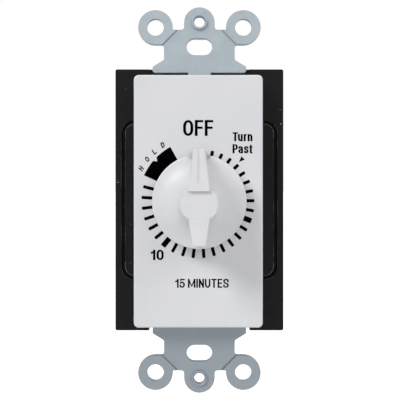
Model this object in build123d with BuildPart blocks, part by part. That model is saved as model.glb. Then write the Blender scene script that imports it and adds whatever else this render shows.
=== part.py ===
from build123d import *
import os
from math import acos, atan2, cos, degrees, pi, radians, sin, tan

os.makedirs("parts", exist_ok=True)

# A spring-wound wall timer for lights, in millimetres. The front faces -Y and +Z is up.
# The origin is on the knob's axis, at the rear face of the mounting yoke. A depth is a place
# along +Y, so what stands in front of the yoke's rear face has a negative depth.

# Allowances shared by all pieces
overrun = 1.0
fit = 0.02
play = 0.05

# Wall-box standard
plate_screw_spacing = 96.84
box_screw_spacing = 83.3

# Mounting yoke
yoke_thickness = 1.25
lobe_radius = 4.15
lobe_drop = 0.17
tapped_hole_radius = 1.47
tapped_hole_chamfer = 0.28
collar_radius = 2.12
collar_height = 0.55
collar_edge = 0.15
ear_spacing_x = 23.9
ear_spacing_z = 93.9
ear_radius = 4.7
ear_hole_radius = 2.28
valley_drop = 0.6
strap_inner_round = 0.75
box_slot_length = 7.0
box_slot_height = 4.52
neck_width = 19.2
flare_height = 1.9
shoulder_width = 25.4
shoulder_height = 1.6
shoulder_round = 0.4
strap_overlap = 1.1
tongue_width = 6.24
yoke_plate_width = 24.0
yoke_plate_height = 36.0
yoke_plate_round = 2.0
yoke_hole_radius = 4.5
score_width = 0.4
score_depth = 0.3
score_offset_x = 7.9
rivet_spacing_x = 19.0
rivet_spacing_z = 30.0
rivet_radius = 1.2
rivet_head_radius = 2.1
rivet_head_height = 0.75

# Case
case_width = 46.0
case_height = 71.5
case_depth = 38.0
case_corner = 0.5
rear_edge_round = 1.0
flange_thickness = 3.0
body_step = 0.6
front_wall = 2.5
side_wall = 2.0
rear_wall = 3.0
split_depth = 21.2
notch_side_gap = 1.1
notch_corner = 0.4
notch_recess = 0.4
moat_side_margin = 1.65
moat_height = 43.6
moat_corner = 3.6
moat_groove = 1.0
moat_depth = 1.4
shaft_opening_radius = 5.0
corner_screw_side_inset = 0.95
corner_screw_end_inset = 1.45
corner_boss_radius = 2.6
corner_screw_radius = 1.1
corner_screw_head_radius = 2.0
corner_screw_head_height = 1.4
corner_screw_front = 10.0
counterbore_depth = 2.0
counterbore_gap = 0.2
slot_width = 0.5
slot_depth = 0.5
card_thickness = 0.4
card_rebate = 1.0
card_hole_radius = 2.5

# Dial cover
cover_width = 34.1
cover_height = 66.8
cover_offset = 0.28
cover_drop = 0.12
cover_projection = 6.4
cover_wall = 1.6
cover_corner = 1.3
cover_edge = 0.5
cover_hole_radius = 3.0
tongue_gap = 0.2
peg_radius = 1.2
peg_spacing_x = 26.4
peg_spacing_z = 49.0
peg_end = 3.0

# Timer knob
knob_gap = 0.8
skirt_radius = 12.1
skirt_height = 4.3
skirt_edge = 0.35
bell_radius = 7.0
hub_radius = 4.45
knob_height = 16.8
hub_recess = 0.7
recess_half = 3.05
grip_hub_half = 2.55
grip_tip_half = 1.25
grip_tail_half = 1.5
grip_tip_reach = 13.0
grip_tail_reach = 10.0
grip_foot_hub_half = 3.4
grip_foot_tip_half = 1.7
grip_foot_tail_half = 2.15
grip_foot_tip_reach = 13.25
grip_foot_tail_reach = 10.9
grip_tip_round = 0.3
grip_tail_round = 0.45
grip_edge_round = 0.2
groove_half = 0.4
groove_depth = 0.3
groove_start = 4.75
pointer_notch_half = 1.95
pointer_notch_start = 10.6
pointer_notch_slope = 1.1
knob_wall = 1.6
knob_boss_radius = 3.7
knob_boss_inset = 0.4
core_half = 0.9
core_start = 5.0
core_end = 8.5
core_roof = 2.0
clip_thickness = 0.4
clip_height = 1.2
clip_opening = 60
clip_inset = 1.0

# Main shaft
shaft_radius = 2.0
shaft_flat = 1.5
shaft_front_gap = 3.0
bearing_rear_radius = 1.6
spring_hub_radius = 2.8
shoulder_radius = 3.6
wheel_seat_radius = 2.4
shaft_end_gap = 0.6
bushing_radius = 3.2
bushing_flange_radius = 4.6
bushing_flange_height = 0.8

# Movement plates
plate_side_gap = 2.65
plate_top = 17.5
plate_end_gap = 1.05
plate_thickness = 1.0
standoff_height = 1.5
standoff_radius = 2.6
plate_gap = 13.0
pillar_side_edge = 3.0
pillar_z_top = 14.5
pillar_end_edge = 3.3
pillar_radius = 2.0
pillar_bore_depth = 4.5
stud_radius = 1.2
stud_length = 2.6
nut_flats = 4.4
nut_height = 1.5
movement_screw_radius = 1.0
movement_head_radius = 1.8
movement_head_height = 1.2
movement_head_sink = 0.1
movement_screw_reach = 4.0
pivot_radius = 0.45
fine_pivot_radius = 0.35
pivot_end = 0.1
arbor_radius = 0.8
boss_notch_gap = 0.4

# Mainspring
mainspring_thickness = 0.35
mainspring_width = 5.0
mainspring_pitch = 1.4
mainspring_half_turns = 14
mainspring_offset = 0.8
spring_hub_margin = 0.4
post_radius = 0.9
post_angle = 20
shoulder_thickness = 0.8

# Gear train: modules, tooth counts and the directions from one arbor to the next
pressure_angle = 25
tooth_shift_share = 0.3
tip_share = 0.85
root_share = 1.15
flank_shares = (0, 0.35, 0.7, 1)
flank_gap = 0.03
main_module = 0.45
main_teeth = 60
second_pinion_teeth = 10
second_module = 0.35
second_teeth = 56
third_pinion_teeth = 8
third_module = 0.3
third_teeth = 48
escape_pinion_teeth = 8
second_direction = 232.9
third_direction = -60.5
escape_direction = 12.4
pallet_direction = -16.4
balance_direction = 74.05
main_wheel_thickness = 1.0
train_wheel_thickness = 0.8
third_wheel_thickness = 0.6
second_pinion_length = 1.8
third_pinion_length = 1.4
escape_pinion_length = 1.2
pinion_lead = 0.4
wheel_step = 0.8
wheel_hub_radius = 1.4
hub_end = 0.4
window_count = 4
window_radius_share = 0.16
window_place_share = 0.62

# Slipping clutch of the main wheel
clutch_radius = 5.0
clutch_arms = 3
clutch_arm_width = 1.6
clutch_ring_radius = 3.3
clutch_thickness = 0.7
collar_outer_radius = 4.2
collar_thickness = 0.6
collar_opening = 40

# Escapement
escape_tip_radius = 5.0
escape_root_radius = 3.9
escape_teeth = 16
escape_tip_half_angle = 1.2
escape_root_half_angle = 4.5
escape_wheel_thickness = 0.6
escape_wheel_depth = 10.8
pallet_span_pitches = 1.5
pallet_pin_radius = 0.35
pallet_pin_gap = 0.08
pallet_distance = 7.09
lever_thickness = 0.8
lever_depth = 9.6
lever_hub_radius = 1.3
lever_arm_width = 1.4
lever_fork_width = 1.8
balance_distance = 8.0
impulse_radius = 1.5
impulse_pin_radius = 0.35
fork_reach = 0.95
fork_slot_length = 1.3
fork_slot_gap = 0.1
balance_outer_radius = 5.5
balance_inner_radius = 4.4
balance_depth = 8.0
balance_thickness = 1.4
balance_web_thickness = 0.7
balance_spoke_width = 1.6
balance_hub_radius = 1.1
staff_radius = 0.5
collet_radius = 1.0
collet_front = 0.2
collet_length = 0.9
hairspring_thickness = 0.15
hairspring_width = 0.5
hairspring_pitch = 0.66
hairspring_half_turns = 9
hairspring_stud_radius = 0.45

# Stops
stop_pin_radius = 1.2
stop_pin_place = 6.5
stop_pin_length = 1.4
stop_arm_reach = 7.5
stop_arm_front_gap = 0.2
stop_arm_thickness = 1.0
stop_arm_ring_radius = 3.2
knob_travel = 312

# Switch
cam_radius = 8.0
cam_thickness = 3.0
cam_card_gap = 0.8
cam_notch_half_angle = 12
cam_notch_depth = 1.2
cam_hub_radius = 3.0
cam_web_recess = 0.8
cam_rim_width = 2.0
follower_gap = 0.15
follower_radius = 0.8
base_side_gap = 3.15
base_bottom = 11.0
base_top = 29.0
base_thickness = 8.0
base_screw_z = 14.5
base_screw_spacing = 11.0
base_screw_reach = 6.0
contact_x = 11.0
pivot_z = 17.0
pivot_pin_radius = 1.0
pivot_shoulder_radius = 1.6
pivot_head_thickness = 0.4
arm_eye_radius = 2.1
arm_thickness = 1.2
arm_width = 2.2
arm_tail = 1.8
arm_side_gap = 0.1
contact_radius = 1.6
contact_height = 0.8
contact_shank_radius = 0.7
contact_travel = 3.5
blade_thickness = 0.8
blade_width = 5.0
spring_post_width = 2.5
spring_post_height = 3.0
spring_post_z = 20.6
leaf_thickness = 0.3
leaf_width = 1.8
leaf_root = 1.6
leaf_foot = 1.5
leaf_touch_x = -3.5
leaf_bend = 0.6
terminal_width = 10.0
terminal_bottom = 13.0
terminal_top = 28.2
terminal_thickness = 1.0
terminal_screw_z = 24.4
terminal_screw_radius = 1.6
terminal_head_radius = 3.2
terminal_head_height = 1.6
terminal_slot_width = 0.9
terminal_screw_reach = 5.0
window_gap = 0.4

# Places that follow from the sizes above
lobe_z = plate_screw_spacing / 2
lobe_centre_z = lobe_z - lobe_drop
box_slot_z = box_screw_spacing / 2
ear_x = ear_spacing_x / 2
ear_z = ear_spacing_z / 2
ear_bottom = ear_z - ear_radius
shoulder_edge = case_height / 2 - strap_overlap
flare_start = shoulder_edge + shoulder_height
neck_end = flare_start + flare_height
body_width = case_width - 2 * body_step
body_height = case_height - 2 * body_step
inner_width = body_width - 2 * side_wall
inner_height = body_height - 2 * side_wall
moat_width = case_width - 2 * moat_side_margin
corner_screw_x = inner_width / 2 - corner_screw_side_inset
corner_screw_z = inner_height / 2 - corner_screw_end_inset
plate_width = inner_width - 2 * plate_side_gap
plate_bottom = inner_height / 2 - plate_end_gap
pillar_x = plate_width / 2 - pillar_side_edge
pillar_z_bottom = plate_bottom - pillar_end_edge
base_width = inner_width - 2 * base_side_gap
card_front = split_depth - card_thickness
rear_inner = case_depth - rear_wall
cover_inner_face = -(cover_projection - cover_wall)
knob_foot = cover_projection + knob_gap
knob_top = knob_foot + knob_height
hub_top = knob_top - hub_recess
rim_top = knob_foot + skirt_height
bell_centre = rim_top + bell_radius
boss_foot = knob_foot + knob_boss_inset
shaft_front = -(knob_top - shaft_front_gap)
front_plate_front = front_wall + standoff_height
front_plate_rear = front_plate_front + plate_thickness
back_plate_front = front_plate_rear + plate_gap
back_plate_rear = back_plate_front + plate_thickness
mainspring_front = front_plate_rear + mainspring_offset
mainspring_rear = mainspring_front + mainspring_width
main_wheel_front = mainspring_rear + spring_hub_margin + shoulder_thickness
main_wheel_rear = main_wheel_front + main_wheel_thickness
clutch_rear = main_wheel_rear + clutch_thickness
collar_rear = clutch_rear + collar_thickness
second_pinion_rear = main_wheel_rear + pinion_lead
second_wheel_front = second_pinion_rear + wheel_step
second_wheel_rear = second_wheel_front + train_wheel_thickness
third_pinion_rear = second_wheel_rear + pinion_lead
third_wheel_front = third_pinion_rear + wheel_step
third_wheel_rear = third_wheel_front + third_wheel_thickness
escape_pinion_rear = third_wheel_rear + pinion_lead
cam_front = split_depth + cam_card_gap
cam_rear = cam_front + cam_thickness
shaft_end = cam_rear + shaft_end_gap
base_front = rear_inner - base_thickness
corner_screws = [(sx * corner_screw_x, sz * corner_screw_z) for sx in (-1, 1) for sz in (-1, 1)]
pillars = [(sx * pillar_x, z) for sx in (-1, 1) for z in (pillar_z_top, -pillar_z_bottom)]
rivets = [(sx * rivet_spacing_x / 2, sz * rivet_spacing_z / 2) for sx in (-1, 1) for sz in (-1, 1)]
pegs = [(sx * peg_spacing_x / 2, sz * peg_spacing_z / 2) for sx in (-1, 1) for sz in (-1, 1)]


def layer(depth, centre=(0, 0), turned=0):
    """Plane square to the shaft at a depth. It extrudes towards the front."""
    direction = (cos(radians(turned)), 0, sin(radians(turned)))
    return Plane(origin=(centre[0], depth, centre[1]), x_dir=direction, z_dir=(0, -1, 0))


def shaft_axis(centre):
    """The axis along +Y through centre, given as (x, z)."""
    return Axis((centre[0], 0, centre[1]), (0, 1, 0))


def turned_profile(centre, steps):
    """Half section of a turned piece. Each step is (radius, front depth, rear depth)."""
    points = [(0, steps[0][1])]
    for radius, front, rear in steps:
        points += [(radius, front), (radius, rear)]
    points.append((0, steps[-1][2]))
    with BuildSketch(Plane(origin=(centre[0], 0, centre[1]))) as profile:
        with BuildLine():
            Polyline(*points, close=True)
        make_face()
    return profile.sketch


def away(start, distance, direction):
    """The point at a distance from start, in a direction in degrees."""
    angle = radians(direction)
    return (start[0] + distance * cos(angle), start[1] + distance * sin(angle))


def round_trip(radius, angle):
    """A point on a circle about the sketch's origin."""
    return (radius * cos(angle), radius * sin(angle))


def involute(angle):
    return tan(angle) - angle


def gear_outline(teeth, module, shift, tooth_at):
    """Outline of an involute gear with one tooth centred in the direction tooth_at."""
    pressure = radians(pressure_angle)
    pitch_radius = module * teeth / 2
    base_radius = pitch_radius * cos(pressure)
    root_radius = pitch_radius + (shift - root_share) * module
    tip_radius = pitch_radius + (shift + tip_share) * module
    half_tooth = (pi / 2 + 2 * shift * tan(pressure)) / teeth + involute(pressure)
    half_tooth -= flank_gap / pitch_radius
    start = max(base_radius, root_radius)
    radii = [start + (tip_radius - start) * share for share in flank_shares]
    flank = [(radius, half_tooth - involute(acos(base_radius / radius))) for radius in radii]
    if root_radius < base_radius:
        flank.insert(0, (root_radius, half_tooth))
    points = []
    for tooth in range(teeth):
        centre = radians(tooth_at) + 2 * pi * tooth / teeth
        points += [round_trip(radius, centre - half) for radius, half in flank]
        points += [round_trip(radius, centre + half) for radius, half in reversed(flank)]
    with BuildSketch() as outline:
        with BuildLine():
            Polyline(*points, close=True)
        make_face()
    return outline.sketch


def wheel_blank(teeth, module, tooth_at, bore):
    """A train wheel's outline with its bore and lightening holes."""
    pitch_radius = module * teeth / 2
    with BuildSketch() as blank:
        add(gear_outline(teeth, module, -tooth_shift_share, tooth_at))
        Circle(bore, mode=Mode.SUBTRACT)
        with PolarLocations(pitch_radius * window_place_share, window_count):
            Circle(pitch_radius * window_radius_share, mode=Mode.SUBTRACT)
    return blank.sketch


def spiral_strip(inner_radius, pitch, half_turns, thickness):
    """A strip wound in half-turn arcs, whose centres step by half the pitch."""
    with BuildSketch() as strip:
        with BuildLine():
            for turn in range(half_turns):
                centre_x = -pitch / 4 if turn % 2 == 0 else pitch / 4
                radius = inner_radius + turn * pitch / 2
                CenterArc((centre_x, 0), radius, 180 * turn, 180)
                CenterArc((centre_x, 0), radius + thickness, 180 * turn, 180)
            inner_start = inner_radius - pitch / 4
            Line((inner_start, 0), (inner_start + thickness, 0))
            sign = 1 if half_turns % 2 == 0 else -1
            last_radius = inner_radius + (half_turns - 1) * pitch / 2 + pitch / 4
            Line((sign * last_radius, 0), (sign * (last_radius + thickness), 0))
        make_face()
    return strip.sketch


def ring_with_gap(inner_radius, outer_radius, opening):
    """A flat ring with an opening in degrees at its top."""
    start = 90 + opening / 2
    sweep = 360 - opening
    with BuildSketch() as ring:
        with BuildLine():
            inner = CenterArc((0, 0), inner_radius, start, sweep)
            outer = CenterArc((0, 0), outer_radius, start, sweep)
            Line(inner @ 0, outer @ 0)
            Line(inner @ 1, outer @ 1)
        make_face()
    return ring.sketch


# Mounting yoke: pressed strap with ears, shoulders and a tongue that joins the plate behind the cover
with BuildPart() as mounting_yoke:
    with BuildSketch(layer(0)) as strap:
        RectangleRounded(yoke_plate_width, yoke_plate_height, yoke_plate_round)
        for end in (-1, 1):
            with Locations((0, end * (lobe_z + valley_drop) / 2)):
                Rectangle(tongue_width, lobe_z - valley_drop)
            with Locations((0, end * lobe_centre_z)):
                Circle(lobe_radius)
            with Locations((0, end * (lobe_centre_z + ear_bottom) / 2)):
                Rectangle(2 * lobe_radius, lobe_centre_z - ear_bottom)
            ear_web_height = ear_z - valley_drop - ear_bottom
            with Locations((0, end * (ear_bottom + ear_web_height / 2))):
                Rectangle(ear_spacing_x, ear_web_height)
            with Locations((-ear_x, end * ear_z), (ear_x, end * ear_z)):
                Circle(ear_radius)
            neck_top = ear_bottom + valley_drop
            with Locations((0, end * (shoulder_edge + neck_top) / 2)):
                Rectangle(neck_width, neck_top - shoulder_edge)
            with BuildLine():
                Polyline(
                    (-neck_width / 2, end * neck_end),
                    (-shoulder_width / 2, end * flare_start),
                    (-shoulder_width / 2, end * (shoulder_edge + shoulder_round)),
                    (-shoulder_width / 2 + shoulder_round, end * shoulder_edge),
                    (shoulder_width / 2 - shoulder_round, end * shoulder_edge),
                    (shoulder_width / 2, end * (shoulder_edge + shoulder_round)),
                    (shoulder_width / 2, end * flare_start),
                    (neck_width / 2, end * neck_end),
                    close=True,
                )
            make_face()
        # The inner corners beside the lobe, under the ears and above the flare are round
        inner_corners = [(lobe_radius, ear_z - valley_drop), (neck_width / 2, ear_bottom)]
        inner_corners += [(neck_width / 2, neck_end)]
        corner_places = [(sx * x, sz * z) for x, z in inner_corners for sx in (-1, 1) for sz in (-1, 1)]
        fillet([strap.vertices().sort_by_distance(place)[0] for place in corner_places],
               radius=strap_inner_round)
    extrude(amount=yoke_thickness)
    with BuildSketch(layer(-yoke_thickness)):
        with Locations((0, lobe_z), (0, -lobe_z)):
            Circle(collar_radius)
    extrude(amount=collar_height)
    fillet(mounting_yoke.faces().sort_by(Axis.Y)[:2].edges(), radius=collar_edge)
    with BuildSketch(layer(overrun)):
        with Locations((0, lobe_z), (0, -lobe_z)):
            Circle(tapped_hole_radius)
        with GridLocations(ear_spacing_x, ear_spacing_z, 2, 2):
            Circle(ear_hole_radius)
        with Locations((0, box_slot_z), (0, -box_slot_z)):
            SlotOverall(box_slot_length, box_slot_height)
        with Locations(*rivets):
            Circle(rivet_radius + fit)
        Circle(yoke_hole_radius)
    extrude(amount=yoke_thickness + collar_height + 2 * overrun, mode=Mode.SUBTRACT)
    collar_faces = mounting_yoke.faces().sort_by(Axis.Y)[:2]
    chamfer([face.inner_wires()[0].edge() for face in collar_faces], length=tapped_hole_chamfer)
    # Break-off score lines at 45 degrees, across each ear's root
    score_length = 2 * (ear_z - valley_drop - ear_bottom)
    for side in (-1, 1):
        for end in (-1, 1):
            score_z = end * (ear_bottom + ear_z - valley_drop) / 2
            with BuildSketch(layer(-yoke_thickness + score_depth, (side * score_offset_x, score_z))):
                Rectangle(score_length, score_width, rotation=-45 * side * end)
            extrude(amount=score_depth + overrun, mode=Mode.SUBTRACT)
mounting_yoke.part.label = "mounting_yoke"
export_step(mounting_yoke.part, "parts/mounting_yoke.step")

# Rivets that hold the yoke to the case
with BuildPart() as yoke_rivets:
    rivet_steps = [
        (rivet_head_radius, -yoke_thickness - rivet_head_height, -yoke_thickness),
        (rivet_radius, -yoke_thickness, front_wall),
        (rivet_head_radius, front_wall, front_wall + rivet_head_height),
    ]
    for place in rivets:
        revolve(turned_profile(place, rivet_steps), axis=shaft_axis(place))
    front_rims = yoke_rivets.faces().sort_by(Axis.Y)[:4].edges()
    fillet(front_rims, radius=rivet_head_height / 2)
yoke_rivets.part.label = "yoke_rivets"
export_step(yoke_rivets.part, "parts/yoke_rivets.step")

# Front half of the case
with BuildPart() as front_housing:
    with BuildSketch(layer(flange_thickness)):
        RectangleRounded(case_width, case_height, case_corner)
    extrude(amount=flange_thickness)
    with BuildSketch(layer(split_depth)):
        RectangleRounded(body_width, body_height, case_corner)
    extrude(amount=split_depth - flange_thickness)
    with BuildSketch(layer(split_depth)):
        Rectangle(inner_width, inner_height)
    extrude(amount=split_depth - front_wall, mode=Mode.SUBTRACT)
    with BuildSketch(layer(card_front)):
        with Locations(*corner_screws):
            Circle(corner_boss_radius)
    extrude(amount=card_front - front_wall / 2)
    with BuildSketch(layer(split_depth)):
        Rectangle(inner_width + 2 * card_rebate, inner_height + 2 * card_rebate)
    extrude(amount=card_thickness, mode=Mode.SUBTRACT)
    with BuildSketch(layer(front_plate_front)):
        with Locations(*pillars):
            Circle(standoff_radius)
    extrude(amount=standoff_height + front_wall / 2)
    # Notches for the strap's shoulders: a recess at the top, through the flange at the bottom
    for end, notch_end in ((1, notch_recess), (-1, flange_thickness)):
        notch_height = strap_overlap + overrun
        with BuildSketch(layer(notch_end, (0, end * (shoulder_edge + notch_height / 2)))) as notch:
            Rectangle(shoulder_width + 2 * notch_side_gap, notch_height)
            inner_corners = notch.vertices().group_by(Axis.Y)[0 if end == 1 else -1]
            chamfer(inner_corners, length=notch_corner)
        extrude(amount=notch_end + overrun, mode=Mode.SUBTRACT)
    with BuildSketch(layer(moat_depth)):
        RectangleRounded(moat_width, moat_height, moat_corner)
        RectangleRounded(
            moat_width - 2 * moat_groove,
            moat_height - 2 * moat_groove,
            moat_corner - moat_groove,
            mode=Mode.SUBTRACT,
        )
    extrude(amount=moat_depth + overrun, mode=Mode.SUBTRACT)
    # Holes through the front wall
    with BuildSketch(layer(front_plate_front + overrun)):
        Circle(shaft_opening_radius)
        with Locations(*pegs):
            Circle(peg_radius + play)
        with Locations(*rivets):
            Circle(rivet_radius + fit)
        with Locations(*pillars):
            Circle(movement_screw_radius + play)
    extrude(amount=front_plate_front + 2 * overrun, mode=Mode.SUBTRACT)
    with BuildSketch(layer(movement_head_sink + movement_head_height)):
        with Locations(*pillars):
            Circle(movement_head_radius + counterbore_gap)
    extrude(amount=movement_head_sink + movement_head_height + overrun, mode=Mode.SUBTRACT)
    with BuildSketch(layer(card_front + overrun)):
        with Locations(*corner_screws):
            Circle(corner_screw_radius + fit)
    extrude(amount=card_front + 2 * overrun - corner_screw_front, mode=Mode.SUBTRACT)
front_housing.part.label = "front_housing"
export_step(front_housing.part, "parts/front_housing.step")

# Rear half of the case, with a window behind each terminal
with BuildPart() as rear_housing:
    with BuildSketch(layer(case_depth)):
        RectangleRounded(body_width, body_height, case_corner)
    extrude(amount=case_depth - split_depth)
    fillet(rear_housing.faces().sort_by(Axis.Y)[-1].edges(), radius=rear_edge_round)
    with BuildSketch(layer(rear_inner)):
        Rectangle(inner_width, inner_height)
    extrude(amount=rear_inner - split_depth + overrun, mode=Mode.SUBTRACT)
    with BuildSketch(layer(rear_inner + rear_wall / 2)):
        with Locations(*corner_screws):
            Circle(corner_boss_radius)
    extrude(amount=rear_inner + rear_wall / 2 - split_depth)
    with BuildSketch(layer(case_depth + overrun)):
        with Locations(*corner_screws):
            Circle(corner_screw_radius + play)
        with Locations((0, base_screw_z), (0, base_screw_z + base_screw_spacing)):
            Circle(corner_screw_radius + play)
        terminal_z = (terminal_bottom + terminal_top) / 2
        with Locations((-contact_x, terminal_z), (contact_x, terminal_z)):
            Rectangle(terminal_width + 2 * window_gap, terminal_top - terminal_bottom + 2 * window_gap)
    extrude(amount=case_depth - split_depth + 2 * overrun, mode=Mode.SUBTRACT)
    with BuildSketch(layer(case_depth + overrun)):
        with Locations(*corner_screws):
            Circle(corner_screw_head_radius + counterbore_gap)
        with Locations((0, base_screw_z), (0, base_screw_z + base_screw_spacing)):
            Circle(corner_screw_head_radius + counterbore_gap)
    extrude(amount=counterbore_depth + overrun, mode=Mode.SUBTRACT)
rear_housing.part.label = "rear_housing"
export_step(rear_housing.part, "parts/rear_housing.step")

# Long screws through the four corners of the case
with BuildPart() as housing_screws:
    head_seat = case_depth - counterbore_depth
    long_screw_steps = [
        (corner_screw_radius, corner_screw_front, head_seat),
        (corner_screw_head_radius, head_seat, head_seat + corner_screw_head_height),
    ]
    for place in corner_screws:
        revolve(turned_profile(place, long_screw_steps), axis=shaft_axis(place))
    with BuildSketch(layer(head_seat + corner_screw_head_height + overrun)):
        with Locations(*corner_screws):
            Rectangle(2 * corner_screw_head_radius + overrun, slot_width)
    extrude(amount=slot_depth + overrun, mode=Mode.SUBTRACT)
housing_screws.part.label = "housing_screws"
export_step(housing_screws.part, "parts/housing_screws.step")

# Insulating card held in the rebate between the two halves
with BuildPart() as insulating_card:
    with BuildSketch(layer(split_depth)):
        Rectangle(inner_width + 2 * card_rebate - 2 * fit, inner_height + 2 * card_rebate - 2 * fit)
        Circle(card_hole_radius, mode=Mode.SUBTRACT)
        with Locations(*corner_screws):
            Circle(corner_screw_radius + play, mode=Mode.SUBTRACT)
    extrude(amount=card_thickness)
insulating_card.part.label = "insulating_card"
export_step(insulating_card.part, "parts/insulating_card.step")

# White dial cover: a shallow tray with four pegs that press into the case front. Its outline lies
# cover_offset to the left of the knob's axis and cover_drop below it.
with BuildPart() as dial_cover:
    with BuildSketch(layer(0, (-cover_offset, -cover_drop))):
        RectangleRounded(cover_width, cover_height, cover_corner)
    extrude(amount=cover_projection)
    fillet(dial_cover.faces().sort_by(Axis.Y)[0].edges(), radius=cover_edge)
    with BuildSketch(layer(0, (-cover_offset, -cover_drop))):
        Rectangle(cover_width - 2 * cover_wall, cover_height - 2 * cover_wall)
    extrude(amount=-cover_inner_face, mode=Mode.SUBTRACT)
    with BuildSketch(layer(peg_end)):
        with Locations(*pegs):
            Circle(peg_radius)
    extrude(amount=peg_end - cover_inner_face + cover_wall / 2)
    with BuildSketch(layer(overrun)):
        Rectangle(tongue_width + 2 * tongue_gap, cover_height + 2 * overrun)
    extrude(amount=yoke_thickness + tongue_gap + overrun, mode=Mode.SUBTRACT)
    with BuildSketch(layer(0)):
        Circle(cover_hole_radius)
    extrude(amount=cover_projection + overrun, mode=Mode.SUBTRACT)
dial_cover.part.label = "dial_cover"
export_step(dial_cover.part, "parts/dial_cover.step")


def grip_outline(hub_half, tip_half, tail_half, tip_reach, tail_reach):
    """Outline of the grip bar: a pointer upwards and a shorter tail downwards."""
    with BuildSketch() as outline:
        with BuildLine():
            Polyline(
                (tip_half, tip_reach),
                (hub_half, recess_half),
                (hub_half, -recess_half),
                (tail_half, -tail_reach),
                (-tail_half, -tail_reach),
                (-hub_half, -recess_half),
                (-hub_half, recess_half),
                (-tip_half, tip_reach),
                close=True,
            )
        make_face()
        fillet(outline.vertices().group_by(Axis.Y)[-1], radius=grip_tip_round)
        fillet(outline.vertices().group_by(Axis.Y)[0], radius=grip_tail_round)
    return outline.sketch


# Timer knob: a concave bell from the skirt up to the hub, with the grip bar across it
with BuildPart() as timer_knob:
    with BuildSketch(Plane.XY):
        with BuildLine():
            bell_foot_x = skirt_radius - bell_radius
            bell_middle = (
                skirt_radius - bell_radius * sin(radians(45)),
                -(bell_centre - bell_radius * cos(radians(45))),
            )
            Line((0, -knob_foot), (skirt_radius, -knob_foot))
            Line((skirt_radius, -knob_foot), (skirt_radius, -rim_top))
            ThreePointArc((skirt_radius, -rim_top), bell_middle, (bell_foot_x, -bell_centre))
            Line((bell_foot_x, -bell_centre), (hub_radius, -hub_top))
            Line((hub_radius, -hub_top), (0, -hub_top))
            Line((0, -hub_top), (0, -knob_foot))
        make_face()
    revolve(axis=Axis.Y)
    rim_edges = timer_knob.edges().filter_by(GeomType.CIRCLE).sort_by(SortBy.RADIUS)[-2:]
    fillet(rim_edges, radius=skirt_edge)
    # Notches beside the pointer
    notch_reach = skirt_radius - pointer_notch_start + overrun
    notch_wide = pointer_notch_half + notch_reach * pointer_notch_slope
    with BuildSketch(layer(-knob_foot + overrun)):
        with BuildLine():
            Polyline(
                (-pointer_notch_half, pointer_notch_start),
                (pointer_notch_half, pointer_notch_start),
                (notch_wide, pointer_notch_start + notch_reach),
                (-notch_wide, pointer_notch_start + notch_reach),
                close=True,
            )
        make_face()
    extrude(amount=knob_height + 2 * overrun, mode=Mode.SUBTRACT)
    with BuildSketch(layer(-knob_foot)):
        add(grip_outline(grip_foot_hub_half, grip_foot_tip_half, grip_foot_tail_half,
                         grip_foot_tip_reach, grip_foot_tail_reach))
    with BuildSketch(layer(-knob_top)):
        add(grip_outline(grip_hub_half, grip_tip_half, grip_tail_half,
                         grip_tip_reach, grip_tail_reach))
    loft()
    fillet(timer_knob.faces().sort_by(Axis.Y)[0].edges(), radius=grip_edge_round)
    # The hub's face lies lower than the bar between its two arms
    with BuildSketch(layer(-hub_top)):
        Rectangle(2 * hub_radius + overrun, 2 * recess_half)
    extrude(amount=hub_recess + overrun, mode=Mode.SUBTRACT)
    # Pointer groove along the upper arm
    groove_length = grip_foot_tip_reach + overrun - groove_start
    with BuildSketch(Plane.XY.offset(groove_start)):
        with BuildLine():
            Polyline(
                (-2 * groove_half, -knob_top - groove_depth),
                (0, -knob_top + groove_depth),
                (2 * groove_half, -knob_top - groove_depth),
                close=True,
            )
        make_face()
    extrude(amount=groove_length, mode=Mode.SUBTRACT)
    # Hollow behind the bell, round the boss
    with BuildSketch(Plane.XY):
        cavity_width = skirt_radius - knob_wall - knob_boss_radius
        cavity_depth = bell_centre - knob_foot + overrun
        cavity_middle = (knob_boss_radius + cavity_width / 2, cavity_depth / 2 - bell_centre)
        with Locations(cavity_middle):
            Rectangle(cavity_width, cavity_depth)
        with Locations((skirt_radius, -bell_centre)):
            Circle(bell_radius + knob_wall, mode=Mode.SUBTRACT)
    revolve(axis=Axis.Y, mode=Mode.SUBTRACT)
    with BuildSketch(layer(-knob_foot + overrun)):
        for end in (-1, 1):
            with Locations((0, end * (core_start + core_end) / 2)):
                Rectangle(2 * core_half, core_end - core_start)
    extrude(amount=knob_height + overrun - core_roof, mode=Mode.SUBTRACT)
    with BuildSketch(layer(-knob_foot + overrun)):
        Circle(knob_boss_radius + fit)
    extrude(amount=knob_boss_inset + overrun, mode=Mode.SUBTRACT)
    with BuildSketch(layer(-knob_foot + overrun)) as d_bore:
        Circle(shaft_radius + fit)
        with Locations((shaft_flat + fit + shaft_radius, 0)):
            Rectangle(2 * shaft_radius, 2 * hub_radius, mode=Mode.SUBTRACT)
    extrude(amount=-shaft_front - knob_foot + fit + overrun, mode=Mode.SUBTRACT)
timer_knob.part.label = "timer_knob"
export_step(timer_knob.part, "parts/timer_knob.step")

# Spring ring that closes the knob's boss on the shaft
with BuildPart() as knob_clip:
    with BuildSketch(layer(-boss_foot - clip_inset)):
        add(ring_with_gap(knob_boss_radius + fit, knob_boss_radius + fit + clip_thickness, clip_opening))
    extrude(amount=clip_height)
knob_clip.part.label = "knob_clip"
export_step(knob_clip.part, "parts/knob_clip.step")

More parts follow.
